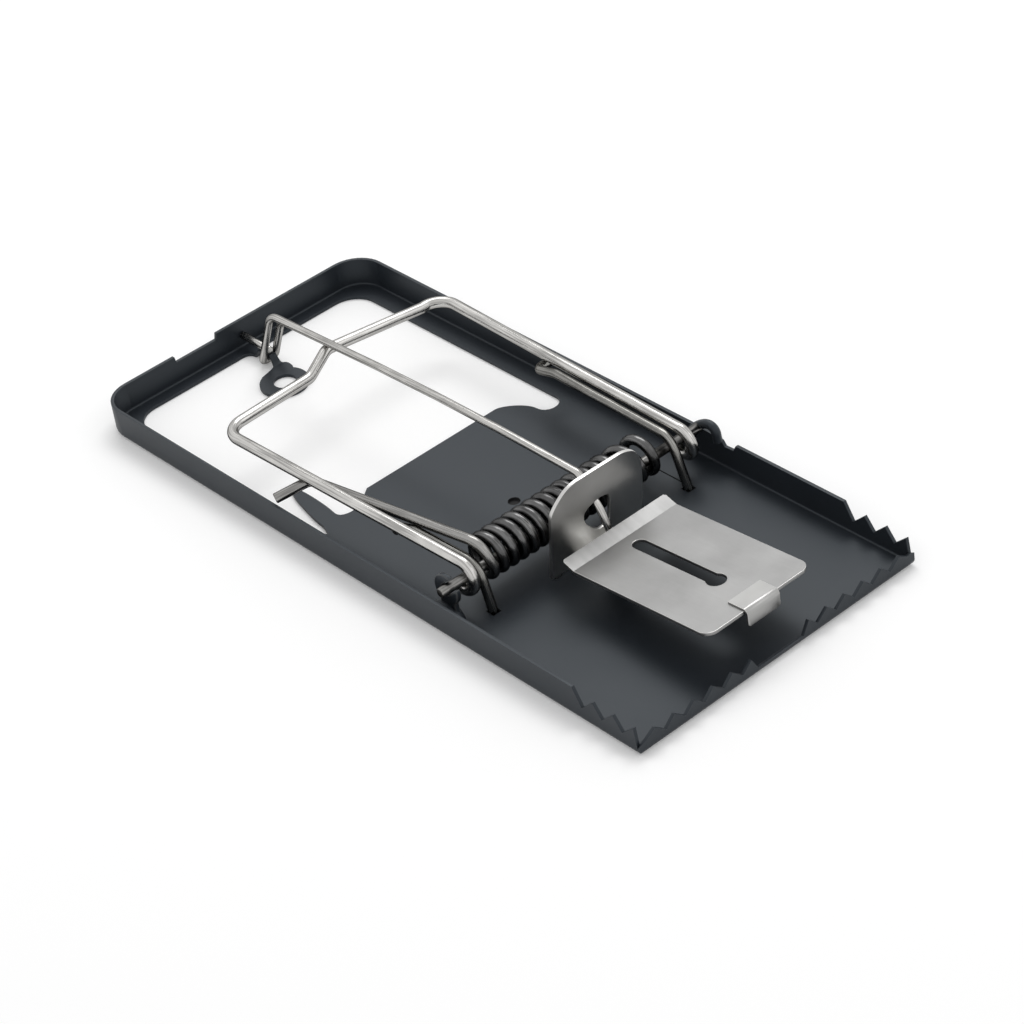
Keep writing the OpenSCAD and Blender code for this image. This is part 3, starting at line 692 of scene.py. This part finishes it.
crest_x = (AXLE_X - REACH * cos(SPLAY) - CREST_RISE * cos(CREST_TILT)
           - (near_run + CREST_RISE / tan(CREST_IN)) * sin(SKEW))
crest_z = LEG_Z + CREST_RISE * sin(CREST_TILT)
crossing = crest_z + BAIL_R + ROD_R
loop_z = HAIR + ROD_R
rod_h = (crossing - loop_z) * cos(ROD_SLOPE) - (crest_x - ROD_X) * sin(ROD_SLOPE)
bow_z = crossing + (BOW_X - crest_x) * tan(ROD_SLOPE)
rear_run = ((BOW_X - ROD_X) * cos(ROD_SLOPE) + (bow_z - loop_z) * sin(ROD_SLOPE)
            - rod_h / tan(ROD_LEAN))
bow_run = BOW_STEP * (cos(ROD_SLOPE - ROD_BOW) + cos(ROD_SLOPE - 2 * ROD_BOW))
front_run = (PLATE_X - TIP_BACK - BOW_X - bow_run) / cos(3 * ROD_BOW - ROD_SLOPE)
tilt = turned(("Y", -ROD_SLOPE))
rod_start = (Vector((ROD_X, NECK_Y + LOOP_W / 2, loop_z))
             + tilt @ Vector((TAIL_H / tan(ROD_LEAN) + TAIL_L, 0, TAIL_H)))
rod_points, _ = bend_wire(rod_start, tilt @ turned(("Y", -90), ("Z", 180)), [
    (TAIL_L, TAIL_BEND_R, ROD_LEAN, 0),
    (TAIL_H / sin(ROD_LEAN), LOOP_BEND_R, 90, 90),
    (LOOP_W, LOOP_BEND_R, 90, 0),
    (rod_h / sin(ROD_LEAN), REAR_BEND_R, ROD_LEAN, -90),
    (rear_run, BOW_R, ROD_BOW, 0),
    (BOW_STEP, BOW_R, ROD_BOW, 0),
    (BOW_STEP, BOW_R, ROD_BOW, 0),
    (front_run, TIP_BEND_R, TIP_BEND, 0),
    (ROD_DROP / sin(TIP_BEND) - TIP_CUT, TIP_CURL_R, TIP_CURL, 0),
    (TIP_L,)])
finish_mesh("trip_rod_wire", wire_mesh(rod_points, ROD_R), satin_wire, "trip_rod", "trip_rod")
pin_z = 3 * ROD_R + NECK_GAP + SHEET
pin_points = [Vector((x, NECK_Y, pin_z))
              for x in (ROD_X + PIN_AHEAD, ROD_X - PIN_BEHIND, SHEET + WALL_GAP - TRAY_X)]
finish_mesh("tongue_pin", wire_mesh(pin_points, ROD_R), satin_wire, "base", "keeper_pin")

# %% [markdown]
# The axle is a plain straight rod from the near lug to the arch in the far wall.
# A cylinder would do, but the wire helper also gives it the drawn lines and the
# eased cut ends.

# %% Axle
AXLE_RINGS_Y, AXLE_DRAWN_R = (24.1, 8, -8, -23.6), 0.74
axle_points = [Vector((AXLE_X, y, AXLE_Z)) for y in AXLE_RINGS_Y]
finish_mesh("axle_rod", wire_mesh(axle_points, AXLE_DRAWN_R, 28), axle_steel, "base", "axle")

# %% [markdown]
# The tray is one pressing: a flat deck with a window, four walls turned up at a
# small radius, and teeth cut in the front rims. A box could be hollowed out and
# cut, but then no edge would have the bend of pressed sheet. Here the rim is
# laid out first, once round the tray, and its heights give the teeth.

# %% Tray rim
WALL_H, REAR_R = 4.9, 5.0
SIDE_PITCH, SIDE_TOOTH_X, SIDE_PEAK, SIDE_VALLEY = 3.7, 45.0, 4.2, 2.2
FRONT_PITCH, FRONT_TOOTH_Y, FRONT_PEAK, FRONT_VALLEY = 3.4, 5.2, 2.9, 1.45
GATE_HALF, GATE_H = 4.1, 0.95
SIDE_TO_VALLEY, FRONT_TO_VALLEY, LAST_VALLEY = 1.48, 1.6, 1.92
SIDE_CORNER, FAR_CORNER_H, NEAR_CORNER_H = [(56.5, GATE_H), (56.1, 4.1)], 1.95, 1.6
NOTCH_X = 22.05


def side_rim():
    """Rim heights along a side wall, front to back: the corner, then the teeth."""
    heights = list(SIDE_CORNER)
    for i in (2, 1, 0):
        peak_x = SIDE_TOOTH_X + SIDE_PITCH * i
        heights.append((peak_x + SIDE_TO_VALLEY, SIDE_VALLEY))
        heights.append((peak_x, WALL_H if i == 0 else SIDE_PEAK))
    return heights


def front_rim():
    """Rim heights across the front wall: six teeth on each side of a low gate."""
    half = [(GATE_HALF, GATE_H)]
    for i in range(6):
        peak_y = FRONT_TOOTH_Y + FRONT_PITCH * i
        half.append((peak_y, FRONT_PEAK))
        half.append((peak_y + FRONT_TO_VALLEY, LAST_VALLEY if i == 5 else FRONT_VALLEY))
    return [(-y, h) for y, h in half[::-1]] + half


def rear_corner(side, start):
    """Eleven rim points round a rear corner, from the angle start on."""
    corner = []
    for i in range(11):
        x, y = cos(start + 9 * i), sin(start + 9 * i)
        corner.append((REAR_R - TRAY_X + REAR_R * x, side * (TRAY_Y - REAR_R) + REAR_R * y,
                       x, y, WALL_H))
    return corner


def tray_rim():
    """(x, y, outward x, outward y, rim height) all round, counter-clockwise."""
    loop = [(TRAY_X, y, 1, 0, h) for y, h in front_rim()]
    loop.append((TRAY_X, TRAY_Y, 1, 1, FAR_CORNER_H))
    loop += [(x, TRAY_Y, 0, 1, h) for x, h in side_rim()]
    loop += [(x, TRAY_Y, 0, 1, WALL_H) for x in (41, 37, 33, 29)]
    loop += [(NOTCH_X + x, TRAY_Y, 0, 1, WALL_H - cut)
             for x, cut in ((2.75, 0), (2.2, 1.0), (0.5, 1.1), (0, 0.4))]
    loop += [(x, TRAY_Y, 0, 1, WALL_H) for x in (21, 16, 12, 4, -4, -12, -20, -28, -36, -44, -50)]
    loop += rear_corner(1, 90)
    loop += [(-TRAY_X, y, -1, 0, WALL_H) for y in (14, 6, 1, -3.2)]
    loop += [(-TRAY_X, y, -1, 0, WALL_H - 1) for y in (-3.4, -7, -10.9)]
    loop += [(-TRAY_X, y, -1, 0, WALL_H) for y in (-11.1, -16)]
    loop += rear_corner(-1, 180)
    loop += [(x, -TRAY_Y, 0, -1, WALL_H) for x in range(-50, 44, 7)]
    loop += [(x, -TRAY_Y, 0, -1, h) for x, h in side_rim()[::-1]]
    loop.append((TRAY_X, -TRAY_Y, 1, -1, NEAR_CORNER_H))
    return loop


rim = tray_rim()
print("points round the rim:", len(rim))

# %% [markdown]
# The window of the deck was cut by a press tool, so its outline is straight
# runs, round corners and two odd pockets. The pockets are written as a few
# points and smoothed. Cutting a cube out with a boolean would give sharp
# pockets and a tangle of faces round them.

# %% Deck window
def smooth_loop(points, rounds=2):
    """Cut the corners of an open row of points, keeping its ends."""
    for _ in range(rounds):
        cut = [points[0]]
        for a, b in zip(points, points[1:]):
            cut.append((0.75 * a[0] + 0.25 * b[0], 0.75 * a[1] + 0.25 * b[1]))
            cut.append((0.25 * a[0] + 0.75 * b[0], 0.25 * a[1] + 0.75 * b[1]))
        points = cut + [points[-1]]
    return points


def round_2d(cx, cy, r, start, end, count=10):
    """Points of an arc about (cx, cy), from one angle to another."""
    angles = [start + (end - start) * i / count for i in range(count + 1)]
    return [(cx + r * cos(a), cy + r * sin(a)) for a in angles]


def window_loop():
    """The window in the deck, from its far rear corner round to its back edge."""
    back, half, front, corner, flare, lobe = -54.4, 21.4, -13.5, 4.0, 1.3, 1.95
    near_side, far_side = NECK_Y - NECK_W / 2, NECK_Y + NECK_W / 2
    loop = round_2d(back + corner, half - corner, corner, 180, 90)
    loop += [(-40, half), (-30, half), (-20, half)]
    loop += round_2d(-9, half - lobe, lobe, 90, -60)
    loop += smooth_loop([(-8.6, 17.6), (-9.9, 17.45), (-11.8, 16.3), (-13.5, 14.2), (front, 12.6)])
    loop += [(front, 6), (front, -2), (front, -9.8)]
    loop += smooth_loop([(front, -10.6), (-11.6, -13.2), (-10.8, -15.3), (-11.6, -17.4),
                         (-14, -17.0), (-17, -16.8), (-19.8, -16.8), (-22.3, -17.0)])
    loop += smooth_loop([(-22.0, -17.5), (-20.3, -18.4), (-17, -19.2), (-13.2, -20.0),
                         (-11.6, -20.1), (-9.5, -20.9)])
    loop += smooth_loop([(-9.9, -21.2), (-12, -21.4), (-14, -half)])
    loop += [(-24, -half), (-36, -half)]
    loop += round_2d(back + corner, corner - half, corner, -90, -180)
    loop += [(back, -8), (back, -2.6)]
    loop += round_2d(back + flare, near_side - flare, flare, 180, 90, 6)
    loop += round_2d(back + flare, far_side + flare, flare, 270, 180, 6)
    return loop + [(back, 8)]


window_points = window_loop()
print("points round the window:", len(window_points))

# %% [markdown]
# Wires and the catch plate stand in slots of the deck. On the real tray the slots go through, but they
# look black, because the sheet lies close to the table. Through holes would let the white table shine
# in, so a skin is left, and the slots get a black finish as painted shade.

# %% Deck slots
LIFT_FOOT_Y, NEAR_FOOT_X, TAB_Y = 17.65, 21.28, 7.2
LINE_PLACE, ROUND_HOLE = (18.3, 18.1), (5.2, 0.45, 0.9)
FOOT_SLOT, TAB_SLOT, LINE_SLOT, SPRING_SLOT = (1.5, 1.45), (0.8, 1.2), (5.2, 0.2), (1.55, 1.55)


def square_hole(cx, cy, size):
    x, y = size[0] / 2, size[1] / 2
    return [(cx - x, cy - y), (cx + x, cy - y), (cx + x, cy + y), (cx - x, cy + y)]


deck_slots = [square_hole(NOTCH_X, LIFT_FOOT_Y, FOOT_SLOT),
              square_hole(NEAR_FOOT_X, -LIFT_FOOT_Y, FOOT_SLOT),
              square_hole(*LINE_PLACE, LINE_SLOT),
              square_hole(PLATE_X, TAB_Y, TAB_SLOT), square_hole(PLATE_X, -TAB_Y, TAB_SLOT),
              square_hole(foot_bend.x, foot_bend.y, SPRING_SLOT),
              round_2d(*ROUND_HOLE, 0, 345, 23)]
print("slots in the deck:", len(deck_slots))

# %% [markdown]
# Plates, lugs and the tongue are blanks that were cut from flat sheet and then
# bent. A plane with a Solidify modifier could do for a flat one, but a bend
# would pinch it. Here both faces of the blank are filled round its holes, the
# blank is scored where it will bend, and every point is then moved into place.

# %% Sheet helpers
def closed_loop(bm, points, height):
    """A loop of points at one height; returns its points and its edges."""
    verts = [bm.verts.new((u, v, height)) for u, v in points]
    return verts, [bm.edges.new((verts[i - 1], verts[i])) for i in range(len(verts))]


def wall_between(bm, low, high):
    """The cut edge of the sheet, from the lower loop to the upper one."""
    return [bm.faces.new((low[i - 1], low[i], high[i], high[i - 1])) for i in range(len(low))]


def fill(bm, edges):
    bmesh.ops.triangle_fill(bm, use_beauty=True, use_dissolve=False, edges=edges,
                            normal=(0, 0, 1))


def sink_slots(bm, high_edges, slots, thickness, skin=0.05):
    """Blind slots in the upper face; their walls and floors take finish 1, black as painted shade."""
    for points in slots:
        low, _ = closed_loop(bm, points, skin)
        high, high_ring = closed_loop(bm, points, thickness)
        high_edges += high_ring
        for face in wall_between(bm, low, high) + [bm.faces.new(low)]:
            face.material_index = 1


def cap_with_holes(bm, low_edges, high_edges, holes, thickness):
    """Fill the two faces of a sheet round its holes, and wall the holes in."""
    for points in holes:
        low, low_ring = closed_loop(bm, points, 0)
        high, high_ring = closed_loop(bm, points, thickness)
        low_edges += low_ring
        high_edges += high_ring
        wall_between(bm, low, high)
    fill(bm, low_edges)
    fill(bm, high_edges)


def cut_sheet(outline, holes, thickness, place, bends=()):
    """A flat blank with holes, scored where it will bend, then put in place."""
    bm = bmesh.new()
    low, low_edges = closed_loop(bm, outline, 0)
    high, high_edges = closed_loop(bm, outline, thickness)
    wall_between(bm, low, high)
    cap_with_holes(bm, low_edges, high_edges, holes, thickness)
    for u in bends:
        bmesh.ops.bisect_plane(bm, geom=bm.verts[:] + bm.edges[:] + bm.faces[:],
                               plane_co=(u, 0, 0), plane_no=(1, 0, 0), dist=1e-5)
    for vert in bm.verts:
        vert.co = place(*vert.co)
    return bm


def soften_edges(piece, width, angle=40, segments=2):
    """Round the cut edges over width mm and give them their own finish: worn lacquer on the tray, bare
    steel with a painted highlight on bright sheet.
    """
    edge = piece.modifiers.new("soft_edge", "BEVEL")
    edge.width = width * MM
    edge.segments = segments
    edge.limit_method = "ANGLE"
    edge.angle_limit = math.radians(angle)
    finishes = piece.data.materials
    # on bright sheet the cut edges get a lighter colour: bare steel and a painted highlight
    finishes.append(worn_lacquer if finishes[0] == lacquer else cut_edge_and_highlight)
    edge.material = len(finishes) - 1


print("sheet helpers are ready")

# %% [markdown]
# Now the rim becomes the tray. A row of points goes down the outside of the
# wall, round the bend and a little way in, and another does so on the inside.
# Solidify could give the wall its thickness, but the two bends have different radii, so both skins are
# laid out, and then the deck is filled in.

# %% Tray pressing
BEND_R, DECK_FROM, TOOTH_MARGIN = 0.8, 1.7, 0.1


def wall_rows():
    """(inset, height) pairs down the outside of the wall and down the inside."""
    outside, inside = [(0.0, None), (0.0, BEND_R)], [(SHEET, None), (SHEET, BEND_R)]
    for i in range(1, 6):
        a = 18 * i
        for rows, inset, r in ((outside, 0, BEND_R), (inside, SHEET, BEND_R - SHEET)):
            rows.append((inset + r - r * cos(a), BEND_R - r * sin(a)))
    return outside + [(DECK_FROM, 0.0)], inside + [(DECK_FROM, SHEET)]


def ring_of(bm, inset, height):
    """One row round the tray; it stays below the rim, also under a tooth's cut."""
    ring = []
    for x, y, nx, ny, rim_h in rim:
        z = rim_h if height is None else min(height, rim_h - TOOTH_MARGIN)
        ring.append(bm.verts.new((x - nx * inset, y - ny * inset, z)))
    return ring


def tray_pressing():
    bm = bmesh.new()
    count = len(rim)
    ends, tops = [], []
    for rows in wall_rows():
        rings = [ring_of(bm, inset, height) for inset, height in rows]
        for upper, lower in zip(rings, rings[1:]):
            for k in range(count):
                n = (k + 1) % count
                bm.faces.new((upper[k], upper[n], lower[n], lower[k]))
        tops.append(rings[0])
        ends.append([bm.edges.get((rings[-1][k], rings[-1][(k + 1) % count]))
                     for k in range(count)])
    for k in range(count):
        n = (k + 1) % count
        bm.faces.new((tops[0][k], tops[0][n], tops[1][n], tops[1][k]))
    sink_slots(bm, ends[1], deck_slots, SHEET)
    cap_with_holes(bm, ends[0], ends[1], [window_points], SHEET)
    return bm


tray = finish_mesh("tray_pressing", tray_pressing(), lacquer, "base", "base_tray", sheet=True)
# painted shade: the slots' walls and floors are near black
tray.data.materials.append(slot_painted_shade)
soften_edges(tray, width=0.09, angle=50)

# %% [markdown]
# Four more forms belong to the tray. The first is the tongue behind the jaw: a
# ring with a hole, on a neck that is pressed up so that the rod's loop can pass
# under it. It could be part of the deck, but then its bend would pull at the
# deck's faces, so each of the four is a mesh of its own that rides with the tray.

# %% Tongue
NECK_RISE = 2 * ROD_R + NECK_GAP
RAMP_UP, FLAT_FROM, FLAT_TO, RAMP_DOWN = -53.0, -51.9, -49.3, -48.2
SCORES, SCORE_STEP = 24, 0.22


def tongue_height(x):
    """How high the neck stands: a smooth ramp up, a flat, a smooth ramp down."""
    up = (x - RAMP_UP) / (FLAT_FROM - RAMP_UP)
    down = (RAMP_DOWN - x) / (RAMP_DOWN - FLAT_TO)
    t = max(0, min(1, up, down))
    return NECK_RISE * t * t * (3 - 2 * t)


def on_tongue(x, y, z):
    return Vector((x, y, z + tongue_height(x)))


tongue_outline = ([(-53.1, 1.7), (-53.1, 0.6), (-51.5, 0.6), (-50.4, 0.6)]
                  + smooth_loop([(-49.4, 0.6), (-48.3, 0.4), (-47.9, -0.5), (-47.4, -2.6)])
                  + round_2d(-43.95, -1.1, 3.7, 205, 480, 30)
                  + smooth_loop([(-46.3, 2.35), (-47.6, 2.5), (-48.3, 1.75), (-49.4, 1.7)])
                  + [(-50.4, 1.7), (-51.5, 1.7)])
tongue_hole = round_2d(-43.9, -1.0, 1.75, 0, 350, 24)
tongue_scores = [RAMP_UP + SCORE_STEP * i for i in range(SCORES)]
tongue_blank = cut_sheet(tongue_outline, [tongue_hole], SHEET, on_tongue, tongue_scores)
tongue = finish_mesh("tray_tongue", tongue_blank, lacquer, "base", sheet=True)
soften_edges(tongue, width=0.1)

# %% [markdown]
# At its near end the axle lies in a lug, a hook of sheet with its mouth open to
# the front. A boolean could cut the mouth, but the hook is easier to draw: round
# the outside, in at the mouth, and back round the axle.

# %% Near lug
LUG_R, LUG_Y, LUG_T = 2.3, -22.6, 0.8
MOUTH_ANGLE, MOUTH_R, LUG_BORE = 42, 2.15, AXLE_R + 0.06
LUG_WAIST_Z, LUG_FOOT_Z, LUG_WAIST_X = 2.6, 0.45, 1.5


def mouth_point(side):
    """A corner of the mouth, below its middle line (-1) or above it (1)."""
    return (AXLE_X + MOUTH_R * cos(MOUTH_ANGLE) + side * LUG_BORE * sin(MOUTH_ANGLE),
            AXLE_Z + MOUTH_R * sin(MOUTH_ANGLE) - side * LUG_BORE * cos(MOUTH_ANGLE))


def on_lug(x, y, z):
    return Vector((x, LUG_Y + z, y))


lug_outline = (round_2d(AXLE_X, AXLE_Z, LUG_R, 78, 232, 20)
               + [(AXLE_X - LUG_WAIST_X, LUG_WAIST_Z), (AXLE_X - LUG_R, LUG_FOOT_Z),
                  (AXLE_X + LUG_R, LUG_FOOT_Z), (AXLE_X + LUG_WAIST_X, LUG_WAIST_Z)]
               + round_2d(AXLE_X, AXLE_Z, LUG_R, -52, 6, 10) + [mouth_point(1)]
               + round_2d(AXLE_X, AXLE_Z, LUG_BORE, -48, -228, 14) + [mouth_point(-1)])
lug = finish_mesh("tray_near_lug", cut_sheet(lug_outline, [], LUG_T, on_lug), lacquer, "base")
soften_edges(lug, width=0.18)

# %% [markdown]
# The press left a bulge in the deck round the foot of the lug, and rolled the far
# wall into an arch over the other end of the axle. A squashed sphere could be
# the bulge, but half of it would be hidden, so it is half an egg. The arch is a
# thick bent line, which the wire helper draws.

# %% Bulge and far arch
BULGE_PLACE, BULGE_SIZE = (AXLE_X - 0.6, LUG_Y, 0.3), (3.4, 1.85, 2.9)
ARCH_Y, ARCH_R = 24.3, 0.68


def dome(centre, size, columns=28, rows=9):
    """Half an egg that stands on the deck, its rim closed by one flat face."""
    bm = bmesh.new()
    rings = []
    for j in range(rows):
        ring = []
        for i in range(columns):
            a, b = 360 * i / columns, 90 * j / rows
            ring.append(bm.verts.new((centre[0] + size[0] * cos(b) * cos(a),
                                      centre[1] + size[1] * cos(b) * sin(a),
                                      centre[2] + size[2] * sin(b))))
        rings.append(ring)
    for low, high in zip(rings, rings[1:]):
        wall_between(bm, low, high)
    top = bm.verts.new((centre[0], centre[1], centre[2] + size[2]))
    for i in range(columns):
        bm.faces.new((rings[-1][i - 1], rings[-1][i], top))
    bm.faces.new(rings[0])
    return bm


finish_mesh("tray_near_bulge", dome(BULGE_PLACE, BULGE_SIZE), lacquer, "base")
arch_line = [(15.6, 2.6), (15.75, 3.3), (16.2, 3.95), (17.1, 4.9), (18.4, 5.95), (19.7, 6.6),
             (20.75, 6.55), (21.35, 5.95), (21.45, 5.1), (21.6, 4.3)]
arch_points = [Vector((x, ARCH_Y, z)) for x, z in smooth_loop(arch_line)]
finish_mesh("tray_far_arch", wire_mesh(arch_points, ARCH_R, 20), lacquer, "base")

# %% [markdown]
# The catch plate stands in two slots of the deck and holds the tip of the rod
# in its window. A box with a window cut in it could do, but the outline is all
# curves. The real one is a flat blank of bright sheet that leans forward, so the
# blank helper makes it: an outline, one hole, and a turn into place.

# %% Catch plate
PLATE_LEAN, PIVOT_Z = 9.6, 0.3
SHOULDER_Z, TAB_END_Z, TAB_IN, TAB_OUT = 0.5, -0.15, 6.7, 7.7
plate_foot = [(-8.3, SHOULDER_Z), (-TAB_OUT, SHOULDER_Z), (-TAB_OUT, TAB_END_Z),
              (-TAB_IN, TAB_END_Z), (-TAB_IN, SHOULDER_Z), (0, SHOULDER_Z),
              (TAB_IN, SHOULDER_Z), (TAB_IN, TAB_END_Z), (TAB_OUT, TAB_END_Z),
              (TAB_OUT, SHOULDER_Z), (8.2, SHOULDER_Z)]
plate_outline = (plate_foot + [(8.2, 4), (8.15, 8)]
                 + smooth_loop([(7.95, 10.5), (7.6, 12.6), (6.5, 14.5), (5.0, 15.3), (3.8, 15.55)])
                 + [(2, 15.58), (-2, 15.6)]
                 + smooth_loop([(-4.0, 15.6), (-5.2, 15.4), (-6.2, 14.95), (-7.7, 13.5),
                                (-8.6, 12.0), (-8.6, 10.6)])
                 + [(-8.5, 8), (-8.4, 4)])
plate_window = ([(0.3, 4.2), (2.1, 4.2), (2.1, 6.5)]
                + smooth_loop([(2.1, 8.6), (1.9, 9.7), (0.3, 10.1), (-1.2, 9.8), (-2.7, 9.0),
                               (-2.6, 7.4), (-1.9, 6.2), (-0.9, 5.1)]))
lean = turned(("Y", PLATE_LEAN))


def on_plate(y, s, w):
    """y across the plate, s up along it, w through it from its back."""
    return Vector((PLATE_X, 0, PIVOT_Z)) + lean @ Vector((w - SHEET / 2, y, s))


plate = finish_mesh("catch_plate_sheet", cut_sheet(plate_outline, [plate_window], SHEET, on_plate),
                    plate_steel, "trigger", "catch_plate", sheet=True)
soften_edges(plate, width=0.09)

# %% [markdown]
# The bait pedal is a light plate with a raised lip and a keyhole slot. It could
# be modelled as a box with a bent end, but a blank that is scored and bent keeps
# its thickness, and its crease stays crisp.

# %% Bait pedal
PEDAL_L, PEDAL_HALF, PEDAL_Z, PEDAL_SLOPE = 25.2, 9.4, 5.83, 4.6
LIP_L, LIP_SLOPE, LIP_CUT, CREASE = 2.25, 19.0, 0.3, 0.35
PEDAL_X, PEDAL_CORNER = PLATE_X + 6.45, 1.7
SLOT_HALF, SLOT_FROM, KEY_X, KEY_R = 1.1, 2.8, 17.2, 1.45


def on_pedal(u, v, w):
    """u along the pedal from its bend, v across, w up from its underside."""
    rise = w - SHEET
    if u < 0:
        x = u * cos(LIP_SLOPE) - 0.2 * rise * sin(LIP_SLOPE)
        z = rise - u * sin(LIP_SLOPE)
    else:
        x = u * cos(PEDAL_SLOPE) - rise * sin(PEDAL_SLOPE)
        z = u * sin(PEDAL_SLOPE) + rise * cos(PEDAL_SLOPE)
    return Vector((PEDAL_X + x, v, PEDAL_Z + z))


near_edge = [(u, -PEDAL_HALF) for u in (LIP_CUT - LIP_L, -CREASE, 0, CREASE, 8, 16)]
far_edge = [(u, -v) for u, v in near_edge[::-1]]
pedal_outline = ([(-LIP_L, LIP_CUT - PEDAL_HALF)] + near_edge
                 + round_2d(PEDAL_L - PEDAL_CORNER, PEDAL_CORNER - PEDAL_HALF, PEDAL_CORNER, -90, 0, 8)
                 + [(PEDAL_L, -3), (PEDAL_L, 3)]
                 + round_2d(PEDAL_L - PEDAL_CORNER, PEDAL_HALF - PEDAL_CORNER, PEDAL_CORNER, 0, 90, 8)
                 + far_edge + [(-LIP_L, PEDAL_HALF - LIP_CUT), (-LIP_L, 0)])
key_angle = math.degrees(math.asin(SLOT_HALF / KEY_R))
keyhole = (round_2d(SLOT_FROM, 0, SLOT_HALF, 90, 270, 12) + [(8, -SLOT_HALF), (13, -SLOT_HALF)]
           + round_2d(KEY_X, 0, KEY_R, 180 + key_angle, 540 - key_angle, 20)
           + [(13, SLOT_HALF), (8, SLOT_HALF)])
pedal_blank = cut_sheet(pedal_outline, [keyhole], SHEET, on_pedal, (-CREASE, 0, CREASE))
pedal = finish_mesh("bait_pedal_sheet", pedal_blank, pedal_steel, "trigger", "bait_pedal",
                    sheet=True)
soften_edges(pedal, width=0.1, angle=30)

# %% [markdown]
# A strip of the catch plate runs forward under the pedal and folds up over its
# front edge, which holds the pedal. The fold could be a bent cube, but the blank
# helper lets it lie on the pedal's own slope and roll over the edge.

# %% Fold over the pedal
FOLD_TOP, FOLD_R, FOLD_DROP, FOLD_HALF, FOLD_CORNER = 2.9, 0.45, 2.3, 2.9, 0.5
FOLD_THIN, FOLD_BACK, SIDE_STEP, FOLD_SCORE = 0.6, 0.1, 0.12, 0.1


def on_fold(u, v, w):
    """The blank lies on the pedal, turns over its front edge and hangs down."""
    if u < FOLD_TOP:
        return on_pedal(PEDAL_L - FOLD_TOP + u, v, SHEET + w * FOLD_THIN)
    edge, r = on_pedal(PEDAL_L, v, SHEET), FOLD_R + w * FOLD_THIN
    a = min((u - FOLD_TOP) / FOLD_R, math.pi / 2)
    down = max(0, u - FOLD_TOP - FOLD_R * math.pi / 2)
    return Vector((edge.x - FOLD_BACK + r * math.sin(a), v,
                   edge.z - FOLD_R + r * math.cos(a) - down))


fold_l = FOLD_TOP + FOLD_R * math.pi / 2 + FOLD_DROP - FOLD_R
fold_side = [(FOLD_TOP + SIDE_STEP * i, -FOLD_HALF) for i in range(7)]
fold_outline = ([(0, -FOLD_HALF)] + fold_side
                + round_2d(fold_l - FOLD_CORNER, FOLD_CORNER - FOLD_HALF, FOLD_CORNER, -90, 0, 5)
                + round_2d(fold_l - FOLD_CORNER, FOLD_HALF - FOLD_CORNER, FOLD_CORNER, 0, 90, 5)
                + [(u, -v) for u, v in fold_side[::-1]] + [(0, FOLD_HALF)])
fold_scores = [FOLD_TOP + FOLD_SCORE * i for i in range(8)]
fold_blank = cut_sheet(fold_outline, [], SHEET, on_fold, fold_scores)
# painted shade: the fold gets a darker copy of the plate's steel
fold = finish_mesh("strip_fold", fold_blank, shaded_fold_steel, "trigger", sheet=True)
soften_edges(fold, width=0.1)

# %% [markdown]
# The strip itself starts at the catch plate, rises to the pedal and lies close
# under it. A line could be drawn out into a band, but the strip has a slot in
# it, so a slotted blank is laid along the line as a belt is.

# %% Strip
STRIP_HALF, STRIP_T, STRIP_DEPTH, STRIP_GAP = 3.0, 0.45, 0.5, 0.06
strip_line = smooth_loop([(PLATE_X + 0.2, 1.3), (PLATE_X + 2.0, 1.55),
                          (PEDAL_X - 0.6, PEDAL_Z - 1.15), (PEDAL_X + 0.2, PEDAL_Z - 0.62)])
slot_start, slot_end = len(strip_line), len(strip_line) + 3
strip_line += [(PEDAL_X + u * cos(PEDAL_SLOPE), PEDAL_Z - SHEET - STRIP_GAP + u * sin(PEDAL_SLOPE))
               for u in (0.6, 8, 14, 19.6, 21.2)]


def on_strip(u, v, w):
    """u counts the points of the line, v across, w up from its underside."""
    i = min(int(u), len(strip_line) - 2)
    t = u - i
    (x0, z0), (x1, z1) = strip_line[i], strip_line[i + 1]
    return Vector((x0 + (x1 - x0) * t, v, z0 + (z1 - z0) * t - STRIP_DEPTH + w))


last = len(strip_line) - 1
strip_outline = [(i, -STRIP_HALF) for i in range(last + 1)]
strip_outline += [(i, STRIP_HALF) for i in range(last, -1, -1)]
strip_slot = [(slot_start, -1.6), (slot_end, -1.6), (slot_end, 2.2), (slot_start, 2.2)]
strip_blank = cut_sheet(strip_outline, [strip_slot], STRIP_T, on_strip, range(1, last))
strip = finish_mesh("catch_strip", strip_blank, plate_steel, "trigger")
soften_edges(strip, width=0.08)
